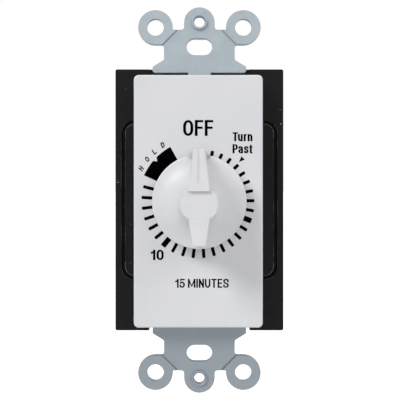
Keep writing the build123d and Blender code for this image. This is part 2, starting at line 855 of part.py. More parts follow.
# Centres of the going train, from the main shaft outwards
main_centre = (0, 0)
second_distance = main_module * (main_teeth + second_pinion_teeth) / 2
third_distance = second_module * (second_teeth + third_pinion_teeth) / 2
escape_distance = third_module * (third_teeth + escape_pinion_teeth) / 2
second_centre = away(main_centre, second_distance, second_direction)
third_centre = away(second_centre, third_distance, third_direction)
escape_centre = away(third_centre, escape_distance, escape_direction)
pallet_centre = away(escape_centre, pallet_distance, pallet_direction)
balance_centre = away(pallet_centre, balance_distance, balance_direction)
train_centres = (second_centre, third_centre, escape_centre)
fine_centres = (pallet_centre, balance_centre)
mainspring_end = spring_hub_radius + fit + mainspring_half_turns * mainspring_pitch / 2
post_place = mainspring_end + mainspring_thickness + fit + post_radius
post_centre = away(main_centre, post_place, post_angle)
hairspring_end = collet_radius + fit + hairspring_half_turns * hairspring_pitch / 2
hairspring_stud_place = hairspring_end + hairspring_thickness + fit + hairspring_stud_radius
stud_centre = away(balance_centre, hairspring_stud_place, 0)


def movement_plate(rear_depth):
    """A plate of the movement, with its pivot holes and its corners cut round the case's bosses."""
    with BuildSketch(layer(rear_depth)) as plate:
        with Locations((0, (plate_top - plate_bottom) / 2)):
            Rectangle(plate_width, plate_top + plate_bottom)
        with Locations(*train_centres):
            Circle(pivot_radius + play, mode=Mode.SUBTRACT)
        with Locations(*fine_centres):
            Circle(fine_pivot_radius + play, mode=Mode.SUBTRACT)
        with Locations(*corner_screws):
            Circle(corner_boss_radius + boss_notch_gap, mode=Mode.SUBTRACT)
    return plate.sketch


# Front plate of the movement
with BuildPart() as front_plate:
    extrude(movement_plate(front_plate_rear), amount=plate_thickness)
    with BuildSketch(layer(front_plate_rear)):
        Circle(bushing_radius + fit)
        with Locations(*pillars):
            Circle(movement_screw_radius + play)
        with Locations(post_centre):
            Circle(post_radius / 2 + fit)
        with Locations(stud_centre):
            Circle(hairspring_stud_radius / 2 + fit)
    extrude(amount=plate_thickness, mode=Mode.SUBTRACT)
front_plate.part.label = "front_plate"
export_step(front_plate.part, "parts/front_plate.step")

# Back plate of the movement
with BuildPart() as back_plate:
    extrude(movement_plate(back_plate_rear), amount=plate_thickness)
    with BuildSketch(layer(back_plate_rear)):
        Circle(bearing_rear_radius + play)
        with Locations(*pillars):
            Circle(stud_radius + play)
        with Locations((0, -stop_pin_place)):
            Circle(stop_pin_radius / 2 + fit)
    extrude(amount=plate_thickness, mode=Mode.SUBTRACT)
back_plate.part.label = "back_plate"
export_step(back_plate.part, "parts/back_plate.step")

# Pillars between the plates, bored at the front and studded at the rear
with BuildPart() as plate_pillars:
    pillar_steps = [
        (pillar_radius, front_plate_rear, back_plate_front),
        (stud_radius, back_plate_front, back_plate_front + stud_length),
    ]
    for place in pillars:
        revolve(turned_profile(place, pillar_steps), axis=shaft_axis(place))
    with BuildSketch(layer(front_plate_rear + pillar_bore_depth)):
        with Locations(*pillars):
            Circle(movement_screw_radius + fit)
    extrude(amount=pillar_bore_depth, mode=Mode.SUBTRACT)
plate_pillars.part.label = "plate_pillars"
export_step(plate_pillars.part, "parts/plate_pillars.step")

# Nuts on the pillars' studs
with BuildPart() as pillar_nuts:
    with BuildSketch(layer(back_plate_rear + nut_height)):
        with Locations(*pillars):
            RegularPolygon(nut_flats / 2, 6, major_radius=False)
            Circle(stud_radius + fit, mode=Mode.SUBTRACT)
    extrude(amount=nut_height)
pillar_nuts.part.label = "pillar_nuts"
export_step(pillar_nuts.part, "parts/pillar_nuts.step")

# Screws from the case front into the pillars
with BuildPart() as movement_screws:
    head_rear = movement_head_sink + movement_head_height
    movement_screw_steps = [
        (movement_head_radius, movement_head_sink, head_rear),
        (movement_screw_radius, head_rear, front_plate_rear + movement_screw_reach),
    ]
    for place in pillars:
        revolve(turned_profile(place, movement_screw_steps), axis=shaft_axis(place))
    with BuildSketch(layer(movement_head_sink + slot_depth)):
        with Locations(*pillars):
            Rectangle(2 * movement_head_radius + overrun, slot_width)
    extrude(amount=slot_depth + overrun, mode=Mode.SUBTRACT)
movement_screws.part.label = "movement_screws"
export_step(movement_screws.part, "parts/movement_screws.step")

# Flanged bearing of the knob's shaft
with BuildPart() as arbor_bushing:
    flange_front = front_plate_front - bushing_flange_height
    bushing_steps = [
        (bushing_flange_radius, flange_front, front_plate_front),
        (bushing_radius, front_plate_front, front_plate_rear),
    ]
    revolve(turned_profile(main_centre, bushing_steps), axis=Axis.Y)
    with BuildSketch(layer(front_plate_rear)):
        Circle(shaft_radius + play)
    extrude(amount=bushing_flange_height + plate_thickness, mode=Mode.SUBTRACT)
arbor_bushing.part.label = "arbor_bushing"
export_step(arbor_bushing.part, "parts/arbor_bushing.step")

# Main shaft: flatted for the knob in front, with the spring hub and the wheel seat between the plates
with BuildPart() as main_arbor:
    hub_front = front_plate_rear + spring_hub_margin
    shoulder_front = mainspring_rear + spring_hub_margin
    main_steps = [
        (shaft_radius, shaft_front, hub_front),
        (spring_hub_radius, hub_front, shoulder_front),
        (shoulder_radius, shoulder_front, main_wheel_front),
        (wheel_seat_radius, main_wheel_front, collar_rear),
        (bearing_rear_radius, collar_rear, shaft_end),
    ]
    revolve(turned_profile(main_centre, main_steps), axis=Axis.Y)
    with BuildSketch(layer(-knob_foot)):
        with Locations((shaft_flat + shaft_radius, 0)):
            Rectangle(2 * shaft_radius, 2 * shaft_radius + overrun)
    extrude(amount=knob_height, mode=Mode.SUBTRACT)
main_arbor.part.label = "main_arbor"
export_step(main_arbor.part, "parts/main_arbor.step")

# Mainspring: a flat strip wound from the shaft's hub out to its post
with BuildPart() as mainspring:
    mainspring_turn = post_angle if mainspring_half_turns % 2 == 0 else post_angle + 180
    with BuildSketch(layer(mainspring_rear, turned=mainspring_turn)):
        add(
            spiral_strip(
                spring_hub_radius + fit + mainspring_pitch / 4,
                mainspring_pitch,
                mainspring_half_turns,
                mainspring_thickness,
            )
        )
    extrude(amount=mainspring_width)
mainspring.part.label = "mainspring"
export_step(mainspring.part, "parts/mainspring.step")
print("mainspring gap between turns", mainspring_pitch - mainspring_thickness)

# Post that holds the mainspring's outer end
with BuildPart() as mainspring_post:
    post_steps = [
        (post_radius / 2, front_plate_front, front_plate_rear),
        (post_radius, front_plate_rear, mainspring_rear + spring_hub_margin / 2),
    ]
    revolve(turned_profile(post_centre, post_steps), axis=shaft_axis(post_centre))
mainspring_post.part.label = "mainspring_post"
export_step(mainspring_post.part, "parts/mainspring_post.step")

# First wheel
with BuildPart() as main_wheel:
    with BuildSketch(layer(main_wheel_rear, main_centre)):
        add(wheel_blank(main_teeth, main_module, second_direction, wheel_seat_radius + fit))
    extrude(amount=main_wheel_thickness)
main_wheel.part.label = "main_wheel"
export_step(main_wheel.part, "parts/main_wheel.step")

# Star spring that presses the first wheel to the shaft's shoulder, so that it can slip
with BuildPart() as clutch_spring:
    with BuildSketch(layer(clutch_rear)):
        Circle(clutch_ring_radius)
        with PolarLocations(clutch_radius / 2, clutch_arms):
            Rectangle(clutch_radius, clutch_arm_width)
        Circle(wheel_seat_radius + fit, mode=Mode.SUBTRACT)
    extrude(amount=clutch_thickness)
clutch_spring.part.label = "clutch_spring"
export_step(clutch_spring.part, "parts/clutch_spring.step")

# Snap ring behind the star spring
with BuildPart() as clutch_collar:
    with BuildSketch(layer(collar_rear)):
        add(ring_with_gap(wheel_seat_radius + fit, collar_outer_radius, collar_opening))
    extrude(amount=collar_thickness)
clutch_collar.part.label = "clutch_collar"
export_step(clutch_collar.part, "parts/clutch_collar.step")


def pinion_profile(centre, hub_front, hub_rear):
    """Half section of a train arbor: two pivots, the arbor and the wheel's hub."""
    arbor_front = front_plate_rear + pivot_end
    arbor_rear = back_plate_front - pivot_end
    steps = [
        (pivot_radius, front_plate_front - pivot_end, arbor_front),
        (arbor_radius, arbor_front, hub_front),
        (wheel_hub_radius, hub_front, hub_rear),
        (arbor_radius, hub_rear, arbor_rear),
        (pivot_radius, arbor_rear, back_plate_rear + pivot_end),
    ]
    return turned_profile(centre, steps)


# Second arbor with its pinion, and the wheel on it
with BuildPart() as second_pinion:
    second_profile = pinion_profile(second_centre, second_pinion_rear, second_wheel_rear + hub_end)
    revolve(second_profile, axis=shaft_axis(second_centre))
    with BuildSketch(layer(second_pinion_rear, second_centre)):
        gap_at = second_direction + 180 + 180 / second_pinion_teeth
        add(gear_outline(second_pinion_teeth, main_module, tooth_shift_share, gap_at))
    extrude(amount=second_pinion_length)
second_pinion.part.label = "second_pinion"
export_step(second_pinion.part, "parts/second_pinion.step")

with BuildPart() as second_wheel:
    with BuildSketch(layer(second_wheel_rear, second_centre)):
        add(wheel_blank(second_teeth, second_module, third_direction, wheel_hub_radius + fit))
    extrude(amount=train_wheel_thickness)
second_wheel.part.label = "second_wheel"
export_step(second_wheel.part, "parts/second_wheel.step")

# Third arbor with its pinion, and the wheel on it
with BuildPart() as third_pinion:
    third_profile = pinion_profile(third_centre, third_pinion_rear, third_wheel_rear + hub_end)
    revolve(third_profile, axis=shaft_axis(third_centre))
    with BuildSketch(layer(third_pinion_rear, third_centre)):
        gap_at = third_direction + 180 + 180 / third_pinion_teeth
        add(gear_outline(third_pinion_teeth, second_module, tooth_shift_share, gap_at))
    extrude(amount=third_pinion_length)
third_pinion.part.label = "third_pinion"
export_step(third_pinion.part, "parts/third_pinion.step")

with BuildPart() as third_wheel:
    with BuildSketch(layer(third_wheel_rear, third_centre)):
        add(wheel_blank(third_teeth, third_module, escape_direction, wheel_hub_radius + fit))
    extrude(amount=third_wheel_thickness)
third_wheel.part.label = "third_wheel"
export_step(third_wheel.part, "parts/third_wheel.step")

# Escape arbor with its pinion
with BuildPart() as escape_pinion:
    escape_hub_front = escape_wheel_depth - escape_wheel_thickness - hub_end
    escape_hub_rear = escape_wheel_depth + hub_end
    escape_profile = pinion_profile(escape_centre, escape_hub_front, escape_hub_rear)
    revolve(escape_profile, axis=shaft_axis(escape_centre))
    with BuildSketch(layer(escape_pinion_rear, escape_centre)):
        gap_at = escape_direction + 180 + 180 / escape_pinion_teeth
        add(gear_outline(escape_pinion_teeth, third_module, tooth_shift_share, gap_at))
    extrude(amount=escape_pinion_length)
escape_pinion.part.label = "escape_pinion"
export_step(escape_pinion.part, "parts/escape_pinion.step")

# Escape wheel with fine pointed teeth
with BuildPart() as escape_wheel:
    with BuildSketch(layer(escape_wheel_depth, escape_centre)):
        with BuildLine():
            points = []
            for tooth in range(escape_teeth):
                tooth_angle = pallet_direction + 360 * tooth / escape_teeth
                points += [
                    round_trip(escape_root_radius, radians(tooth_angle - escape_root_half_angle)),
                    round_trip(escape_tip_radius, radians(tooth_angle - escape_tip_half_angle)),
                    round_trip(escape_tip_radius, radians(tooth_angle + escape_tip_half_angle)),
                    round_trip(escape_root_radius, radians(tooth_angle + escape_root_half_angle)),
                ]
            Polyline(*points, close=True)
        make_face()
        Circle(wheel_hub_radius + fit, mode=Mode.SUBTRACT)
        with PolarLocations(escape_root_radius * window_place_share, window_count):
            Circle(escape_root_radius * window_radius_share, mode=Mode.SUBTRACT)
    extrude(amount=escape_wheel_thickness)
escape_wheel.part.label = "escape_wheel"
export_step(escape_wheel.part, "parts/escape_wheel.step")

# Pallet lever on its arbor: two short arms with pins at the escape wheel, a long one at the balance
pin_circle = escape_tip_radius + pallet_pin_gap + pallet_pin_radius
pallet_angle = 360 / escape_teeth * pallet_span_pitches
pallet_pins_at = [
    away(escape_centre, pin_circle, pallet_direction + side * pallet_angle) for side in (-1, 1)
]
fork_end = balance_distance - fork_reach - lever_fork_width / 2
fork_tip = away(pallet_centre, fork_end, balance_direction)


def link(start, end, width):
    """A flat arm with round ends, from start to end."""
    middle = ((start[0] + end[0]) / 2, (start[1] + end[1]) / 2)
    span = Vector(end[0] - start[0], end[1] - start[1])
    angle = degrees(atan2(span.Y, span.X))
    with Locations(middle):
        SlotCenterToCenter(span.length, width, rotation=angle)


with BuildPart() as pallet_lever:
    with BuildSketch(layer(lever_depth)):
        with Locations(pallet_centre):
            Circle(lever_hub_radius)
        for pin_place in pallet_pins_at:
            link(pallet_centre, pin_place, lever_arm_width)
        link(pallet_centre, fork_tip, lever_fork_width)
        slot_middle = away(pallet_centre, balance_distance - impulse_radius, balance_direction)
        with Locations(slot_middle):
            Rectangle(
                2 * fork_slot_length,
                2 * (impulse_pin_radius + fork_slot_gap),
                rotation=balance_direction,
                mode=Mode.SUBTRACT,
            )
        with Locations(pallet_centre):
            Circle(staff_radius + fit, mode=Mode.SUBTRACT)
        with Locations(*pallet_pins_at):
            Circle(pallet_pin_radius + fit, mode=Mode.SUBTRACT)
    extrude(amount=lever_thickness)
pallet_lever.part.label = "pallet_lever"
export_step(pallet_lever.part, "parts/pallet_lever.step")

staff_steps = [
    (fine_pivot_radius, front_plate_front - pivot_end, front_plate_rear + pivot_end),
    (staff_radius, front_plate_rear + pivot_end, back_plate_front - pivot_end),
    (fine_pivot_radius, back_plate_front - pivot_end, back_plate_rear + pivot_end),
]

with BuildPart() as pallet_arbor:
    revolve(turned_profile(pallet_centre, staff_steps), axis=shaft_axis(pallet_centre))
pallet_arbor.part.label = "pallet_arbor"
export_step(pallet_arbor.part, "parts/pallet_arbor.step")

with BuildPart() as pallet_pins:
    with BuildSketch(layer(escape_wheel_depth + pinion_lead)):
        with Locations(*pallet_pins_at):
            Circle(pallet_pin_radius)
    extrude(amount=escape_wheel_depth + pinion_lead - lever_depth + lever_thickness)
pallet_pins.part.label = "pallet_pins"
export_step(pallet_pins.part, "parts/pallet_pins.step")

# Balance wheel on its staff, with the impulse pin that works in the lever's fork
impulse_place = away(balance_centre, impulse_radius, balance_direction + 180)
with BuildPart() as balance_wheel:
    with BuildSketch(layer(balance_depth, balance_centre)):
        Circle(balance_outer_radius)
        Circle(balance_inner_radius, mode=Mode.SUBTRACT)
        Circle(balance_hub_radius)
    extrude(amount=balance_thickness)
    with BuildSketch(layer(balance_depth - balance_web_thickness, balance_centre)):
        Rectangle(
            balance_outer_radius + balance_inner_radius, balance_spoke_width, rotation=balance_direction
        )
    extrude(amount=balance_thickness - balance_web_thickness)
    with BuildSketch(layer(balance_depth)):
        with Locations(balance_centre):
            Circle(staff_radius + fit)
        with Locations(impulse_place):
            Circle(impulse_pin_radius + fit)
    extrude(amount=balance_thickness, mode=Mode.SUBTRACT)
balance_wheel.part.label = "balance_wheel"
export_step(balance_wheel.part, "parts/balance_wheel.step")

with BuildPart() as balance_staff:
    revolve(turned_profile(balance_centre, staff_steps), axis=shaft_axis(balance_centre))
balance_staff.part.label = "balance_staff"
export_step(balance_staff.part, "parts/balance_staff.step")

with BuildPart() as impulse_pin:
    with BuildSketch(layer(lever_depth + pivot_end, impulse_place)):
        Circle(impulse_pin_radius)
    extrude(amount=lever_depth + pivot_end - balance_depth + balance_thickness)
impulse_pin.part.label = "impulse_pin"
export_step(impulse_pin.part, "parts/impulse_pin.step")

# Hairspring with its collet on the staff and its stud in the front plate
collet_rear = front_plate_rear + collet_front + collet_length
with BuildPart() as hairspring_collet:
    with BuildSketch(layer(collet_rear, balance_centre)):
        Circle(collet_radius)
        Circle(staff_radius + fit, mode=Mode.SUBTRACT)
    extrude(amount=collet_length)
hairspring_collet.part.label = "hairspring_collet"
export_step(hairspring_collet.part, "parts/hairspring_collet.step")

with BuildPart() as hairspring:
    hairspring_rear = collet_rear - (collet_length - hairspring_width) / 2
    hairspring_turn = 0 if hairspring_half_turns % 2 == 0 else 180
    with BuildSketch(layer(hairspring_rear, balance_centre, turned=hairspring_turn)):
        add(
            spiral_strip(
                collet_radius + fit + hairspring_pitch / 4,
                hairspring_pitch,
                hairspring_half_turns,
                hairspring_thickness,
            )
        )
    extrude(amount=hairspring_width)
hairspring.part.label = "hairspring"
export_step(hairspring.part, "parts/hairspring.step")
print("hairspring gap between turns", hairspring_pitch - hairspring_thickness)

with BuildPart() as hairspring_stud:
    stud_steps = [
        (hairspring_stud_radius / 2, front_plate_front, front_plate_rear),
        (hairspring_stud_radius, front_plate_rear, collet_rear),
    ]
    revolve(turned_profile(stud_centre, stud_steps), axis=shaft_axis(stud_centre))
hairspring_stud.part.label = "hairspring_stud"
export_step(hairspring_stud.part, "parts/hairspring_stud.step")

# Stop arm on the shaft and the pin that it meets at both ends of the knob's travel
stop_arm_front = back_plate_rear + stop_arm_front_gap
stop_arm_rear = stop_arm_front + stop_arm_thickness
blocked_half = (360 - knob_travel) / 2
stop_arm_width = 2 * (stop_pin_place * sin(radians(blocked_half)) - stop_pin_radius - play)
with BuildPart() as stop_arm:
    with BuildSketch(layer(stop_arm_rear, turned=-90 - blocked_half)):
        Circle(stop_arm_ring_radius)
        with Locations((stop_arm_reach / 2, 0)):
            Rectangle(stop_arm_reach, stop_arm_width)
        Circle(bearing_rear_radius + fit, mode=Mode.SUBTRACT)
    extrude(amount=stop_arm_thickness)
stop_arm.part.label = "stop_arm"
export_step(stop_arm.part, "parts/stop_arm.step")

with BuildPart() as stop_pin:
    pin_centre = (0, -stop_pin_place)
    stop_pin_steps = [
        (stop_pin_radius / 2, back_plate_front, back_plate_rear),
        (stop_pin_radius, back_plate_rear, back_plate_rear + stop_pin_length),
    ]
    revolve(turned_profile(pin_centre, stop_pin_steps), axis=shaft_axis(pin_centre))
stop_pin.part.label = "stop_pin"
export_step(stop_pin.part, "parts/stop_pin.step")

# Switch cam: a full rim with one notch, where the follower rests at OFF
with BuildPart() as switch_cam:
    with BuildSketch(layer(cam_rear)):
        with BuildLine():
            notch_start = 90 + cam_notch_half_angle
            notch_ramp = notch_start + cam_notch_half_angle / 2
            rim_sweep = 360 - 3 * cam_notch_half_angle
            floor_radius = cam_radius - cam_notch_depth
            floor_sweep = 2 * cam_notch_half_angle
            rim = CenterArc((0, 0), cam_radius, notch_ramp, rim_sweep)
            floor = CenterArc((0, 0), floor_radius, 90 - cam_notch_half_angle, floor_sweep)
            Line(rim @ 0, floor @ 1)
            Line(rim @ 1, floor @ 0)
        make_face()
        Circle(bearing_rear_radius + fit, mode=Mode.SUBTRACT)
    extrude(amount=cam_thickness)
    with BuildSketch(layer(cam_rear)):
        Circle(cam_radius - cam_notch_depth - cam_rim_width / 2)
        Circle(cam_hub_radius, mode=Mode.SUBTRACT)
    extrude(amount=cam_web_recess, mode=Mode.SUBTRACT)
switch_cam.part.label = "switch_cam"
export_step(switch_cam.part, "parts/switch_cam.step")

# Switch base: a moulded block on the case's rear wall that carries the contacts and terminals
pivot_place = (-contact_x, pivot_z)
contact_level = cam_front + (cam_thickness + arm_width) / 2
contact_front = contact_level - arm_width
arm_top = pivot_z + arm_thickness / 2
far_reach = 2 * contact_x + contact_radius
lift = radians(contact_travel)
contact_rise = arm_thickness / 2 + contact_height
fixed_bottom = pivot_z + far_reach * sin(lift) + contact_rise * cos(lift) + play
blade_bottom = fixed_bottom + contact_height
blade_middle = blade_bottom + blade_thickness / 2
base_screws_at = [(0, base_screw_z), (0, base_screw_z + base_screw_spacing)]
terminal_screws_at = [(-contact_x, terminal_screw_z), (contact_x, terminal_screw_z)]
post_x = -base_width / 2 + spring_post_width / 2
leaf_level = spring_post_z + spring_post_height / 2
with BuildPart() as switch_base:
    with BuildSketch(layer(rear_inner, (0, (base_bottom + base_top) / 2))):
        Rectangle(base_width, base_top - base_bottom)
    extrude(amount=base_thickness)
    with BuildSketch(layer(base_front + overrun, (post_x, leaf_level))):
        Rectangle(spring_post_width, spring_post_height)
    extrude(amount=base_front + overrun - contact_front)
    with BuildSketch(layer(rear_inner)):
        with Locations(pivot_place):
            Circle(pivot_pin_radius + fit)
        with Locations((contact_x, blade_middle)):
            Rectangle(blade_width + 2 * fit, blade_thickness + 2 * fit)
    extrude(amount=base_thickness, mode=Mode.SUBTRACT)
    with BuildSketch(layer(rear_inner)):
        with Locations(*terminal_screws_at):
            Circle(terminal_screw_radius + fit)
    extrude(amount=terminal_screw_reach + fit, mode=Mode.SUBTRACT)
    with BuildSketch(layer(rear_inner)):
        with Locations(*base_screws_at):
            Circle(corner_screw_radius + fit)
    extrude(amount=base_screw_reach + fit, mode=Mode.SUBTRACT)
    # Slit that grips the leaf spring's root
    leaf_rear = contact_front + (arm_width + leaf_width) / 2
    slit_x = post_x + spring_post_width / 2 - leaf_root / 2
    with BuildSketch(layer(leaf_rear + fit, (slit_x + overrun / 2, leaf_level))):
        Rectangle(leaf_root + overrun, leaf_thickness + 2 * fit)
    extrude(amount=leaf_rear + fit + overrun - contact_front, mode=Mode.SUBTRACT)
switch_base.part.label = "switch_base"
export_step(switch_base.part, "parts/switch_base.step")

# Screws that hold the switch base to the rear wall
with BuildPart() as base_screws:
    base_screw_steps = [
        (corner_screw_radius, rear_inner - base_screw_reach, head_seat),
        (corner_screw_head_radius, head_seat, head_seat + corner_screw_head_height),
    ]
    for place in base_screws_at:
        revolve(turned_profile(place, base_screw_steps), axis=shaft_axis(place))
    with BuildSketch(layer(head_seat + corner_screw_head_height + overrun)):
        with Locations(*base_screws_at):
            Rectangle(2 * corner_screw_head_radius + overrun, slot_width)
    extrude(amount=slot_depth + overrun, mode=Mode.SUBTRACT)
base_screws.part.label = "base_screws"
export_step(base_screws.part, "parts/base_screws.step")

# Pivot of the contact arm, which reaches the line terminal behind the base
with BuildPart() as contact_pivot:
    eye_front = contact_front - arm_side_gap
    eye_rear = contact_level + arm_side_gap
    pivot_steps = [
        (pivot_shoulder_radius, eye_front - pivot_head_thickness, eye_front),
        (pivot_pin_radius, eye_front, eye_rear),
        (pivot_shoulder_radius, eye_rear, base_front),
        (pivot_pin_radius, base_front, rear_inner),
    ]
    revolve(turned_profile(pivot_place, pivot_steps), axis=shaft_axis(pivot_place))
contact_pivot.part.label = "contact_pivot"
export_step(contact_pivot.part, "parts/contact_pivot.step")

# Contact arm: an eye on the pivot, a nose over the cam and the moving contact at its far end
nose_z = cam_radius + follower_gap + follower_radius
with BuildPart() as contact_arm:
    with BuildSketch(layer(contact_level)):
        with Locations(pivot_place):
            Circle(arm_eye_radius)
        arm_length = 2 * contact_x + arm_tail
        with Locations((arm_tail / 2, pivot_z)):
            Rectangle(arm_length, arm_thickness)
        with Locations((0, nose_z)):
            Circle(follower_radius)
        with Locations((0, (nose_z + pivot_z) / 2)):
            Rectangle(2 * follower_radius, pivot_z - nose_z)
        with Locations(pivot_place):
            Circle(pivot_pin_radius + play, mode=Mode.SUBTRACT)
    extrude(amount=arm_width)
    contact_y = (contact_level + contact_front) / 2
    with BuildSketch(Plane(origin=(contact_x, contact_y, arm_top))):
        Circle(contact_shank_radius + fit)
    extrude(amount=-arm_thickness, mode=Mode.SUBTRACT)
contact_arm.part.label = "contact_arm"
export_step(contact_arm.part, "parts/contact_arm.step")


def contact_rivet(x, head_base, head_direction, shank_length):
    """Head and shank of a contact button, with its axis along Z."""
    top = head_base + head_direction * contact_height
    shank_end = head_base - head_direction * shank_length
    with BuildSketch(Plane.XZ.offset(-contact_y)) as profile:
        with BuildLine():
            Polyline(
                (x, shank_end),
                (x + contact_shank_radius, shank_end),
                (x + contact_shank_radius, head_base),
                (x + contact_radius, head_base),
                (x + contact_radius, top),
                (x, top),
                close=True,
            )
        make_face()
    return profile.sketch


contact_axis = Axis((contact_x, contact_y, 0), (0, 0, 1))
with BuildPart() as moving_contact:
    revolve(contact_rivet(contact_x, arm_top, 1, arm_thickness), axis=contact_axis)
moving_contact.part.label = "moving_contact"
export_step(moving_contact.part, "parts/moving_contact.step")

with BuildPart() as fixed_contact:
    revolve(contact_rivet(contact_x, blade_bottom, -1, blade_thickness), axis=contact_axis)
fixed_contact.part.label = "fixed_contact"
export_step(fixed_contact.part, "parts/fixed_contact.step")

# Fixed blade above the arm, led through the base to the load terminal
with BuildPart() as fixed_blade:
    with BuildSketch(layer(rear_inner, (contact_x, blade_middle))):
        Rectangle(blade_width, blade_thickness)
    extrude(amount=rear_inner - contact_front)
    with BuildSketch(Plane(origin=(contact_x, contact_y, blade_bottom))):
        Circle(contact_shank_radius + fit)
    extrude(amount=blade_thickness, mode=Mode.SUBTRACT)
fixed_blade.part.label = "fixed_blade"
export_step(fixed_blade.part, "parts/fixed_blade.step")

# Leaf spring that presses the contact arm towards the cam
with BuildPart() as contact_spring:
    with BuildSketch(layer(leaf_rear)):
        with BuildLine():
            leaf_start_x = slit_x - leaf_root / 2 + fit
            foot_z = arm_top + leaf_thickness / 2 + fit
            leaf_path = FilletPolyline(
                (leaf_start_x, leaf_level),
                (leaf_start_x + 2 * leaf_root, leaf_level),
                (leaf_touch_x - leaf_foot, foot_z),
                (leaf_touch_x, foot_z),
                radius=leaf_bend,
            )
        trace(leaf_path, line_width=leaf_thickness)
    extrude(amount=leaf_width)
contact_spring.part.label = "contact_spring"
export_step(contact_spring.part, "parts/contact_spring.step")

# Brass terminals in the case's rear windows
terminal_height = terminal_top - terminal_bottom
for side, name in ((-1, "line_terminal"), (1, "load_terminal")):
    with BuildPart() as terminal:
        with BuildSketch(layer(rear_inner + terminal_thickness)):
            with Locations((side * contact_x, (terminal_bottom + terminal_top) / 2)):
                Rectangle(terminal_width, terminal_height)
            with Locations((side * contact_x, terminal_screw_z)):
                Circle(terminal_screw_radius + fit, mode=Mode.SUBTRACT)
        extrude(amount=terminal_thickness)
    terminal.part.label = name
    export_step(terminal.part, f"parts/{name}.step")

# Binding screws of the terminals
with BuildPart() as terminal_screws:
    seat = rear_inner + terminal_thickness
    terminal_screw_steps = [
        (terminal_screw_radius, rear_inner - terminal_screw_reach, seat),
        (terminal_head_radius, seat, seat + terminal_head_height),
    ]
    for place in terminal_screws_at:
        revolve(turned_profile(place, terminal_screw_steps), axis=shaft_axis(place))
    with BuildSketch(layer(seat + terminal_head_height + overrun)):
        with Locations(*terminal_screws_at):
            Rectangle(2 * terminal_head_radius + overrun, terminal_slot_width)
    extrude(amount=slot_depth + overrun, mode=Mode.SUBTRACT)
terminal_screws.part.label = "terminal_screws"
export_step(terminal_screws.part, "parts/terminal_screws.step")
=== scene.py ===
import bmesh
import bpy
from math import atan2, cos, pi, radians, sin
from mathutils import Matrix, Vector


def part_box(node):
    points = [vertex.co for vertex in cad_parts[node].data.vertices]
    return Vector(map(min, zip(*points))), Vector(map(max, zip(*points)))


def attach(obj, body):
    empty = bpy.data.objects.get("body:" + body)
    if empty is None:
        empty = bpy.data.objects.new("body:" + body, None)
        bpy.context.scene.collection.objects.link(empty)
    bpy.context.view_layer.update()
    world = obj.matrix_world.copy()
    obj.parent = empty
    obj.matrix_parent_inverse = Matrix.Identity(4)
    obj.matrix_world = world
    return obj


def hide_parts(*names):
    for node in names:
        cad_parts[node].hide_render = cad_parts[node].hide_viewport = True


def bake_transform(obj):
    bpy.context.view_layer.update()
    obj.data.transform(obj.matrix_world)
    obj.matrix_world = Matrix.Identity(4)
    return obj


# A spring-wound wall timer for lights: the finish of its pieces, and the scale printed on its cover.
# Lengths are in metres. The front faces -Y, +Z is up, and the knob turns about the Y axis.

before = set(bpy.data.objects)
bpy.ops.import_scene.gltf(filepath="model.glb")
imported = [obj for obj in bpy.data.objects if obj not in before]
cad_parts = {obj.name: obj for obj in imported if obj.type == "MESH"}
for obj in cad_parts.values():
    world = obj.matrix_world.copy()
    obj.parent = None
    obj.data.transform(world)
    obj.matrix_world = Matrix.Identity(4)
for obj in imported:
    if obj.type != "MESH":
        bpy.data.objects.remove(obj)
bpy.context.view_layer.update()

mm = 0.001

# The photograph: its size in pixels, and the view from a point in front of the yoke's rear face
photo_pixels = 400
photo_width = 109.6 * mm
camera_distance = 170 * mm
camera_right = 0.3 * mm
camera_up = 7.5 * mm
centre_pixel_x = 199.4
centre_pixel_y = 199.85
sensor_width = 36

# Places of painted light: where painted shade darkens the strap's lower end, and the rounded corner of the
# panel that the moat in the case's front runs round, where a painted highlight lies on its edge
strap_shade_from = -30 * mm
strap_shade_to = -38 * mm
panel_corner = (17.5 * mm, 0, 18.2 * mm)
panel_corner_radius = 2.6 * mm

# The strap's holes: the thread of a plate screw, and the torn lip of the upper slot's edge
plate_screw_height = 48.42 * mm
thread_root_radius = 1.49 * mm
thread_crest_radius = 1.42 * mm
thread_pitch = 0.794 * mm
thread_half_width = 0.4 * thread_pitch
thread_run_out = 0.02 * mm
thread_front = -1.5 * mm
thread_turns = 1.6
thread_turn_steps = 40
lip_height = 43.91 * mm
lip_depth = 0.22 * mm
lip_teeth = (-0.75 * mm, -0.1 * mm, 0.4 * mm, 0.95 * mm)
lip_tooth_half_width = 0.17 * mm
lip_longer_share = 1.3
lip_slant_share = 0.8
lip_rear = -0.375 * mm
lip_front = -1.125 * mm

# The contact's leaf spring: the lengths that it is divided into, and how near to a cut a point counts as
# on it
leaf_lengths = 24
leaf_cut_nearness = 0.001 * mm

# The printed scale, which lies a little to the right of the shaft. Angles are in degrees clockwise
# from the top.
cover_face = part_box("dial_cover")[0].y
print_offset = 0.2 * mm
ink_height = 0.02 * mm
ink_sink = 0.01 * mm
minute_mark_count = 26
minute_mark_start = 3.35
minute_mark_step = 10.804
minute_mark_width = 0.85 * mm
minute_mark_corner = 0.16 * mm
bold_mark_every = 10
bold_mark_width = 1.4 * mm
mark_inner_reach = 12.25 * mm
first_mark_reach = 13.62 * mm
last_mark_reach = 15.47 * mm
last_mark_growing = 20
hold_start = 294.5
hold_end = 331.2
hold_inner_reach = 11.6 * mm
hold_outer_reach = 16.27 * mm
hold_notch_angle = 312.7
hold_notch_reach = 15.38 * mm
hold_notch_half_width = 0.65 * mm
hold_arc_steps = 24
hold_letter_reach = 17.76 * mm
hold_letter_angles = (298.4, 307.8, 316.8, 325.8)
hold_letter_height = 1.42 * mm
hold_letter_width = 0.95 * mm
hold_letter_slant = 0.2
hold_letter_pen = (0.22, 0.19)
arrow_angle = 45.0
arrow_inner_reach = 14.45 * mm
arrow_outer_reach = 16.05 * mm
arrow_half_width = 0.62 * mm

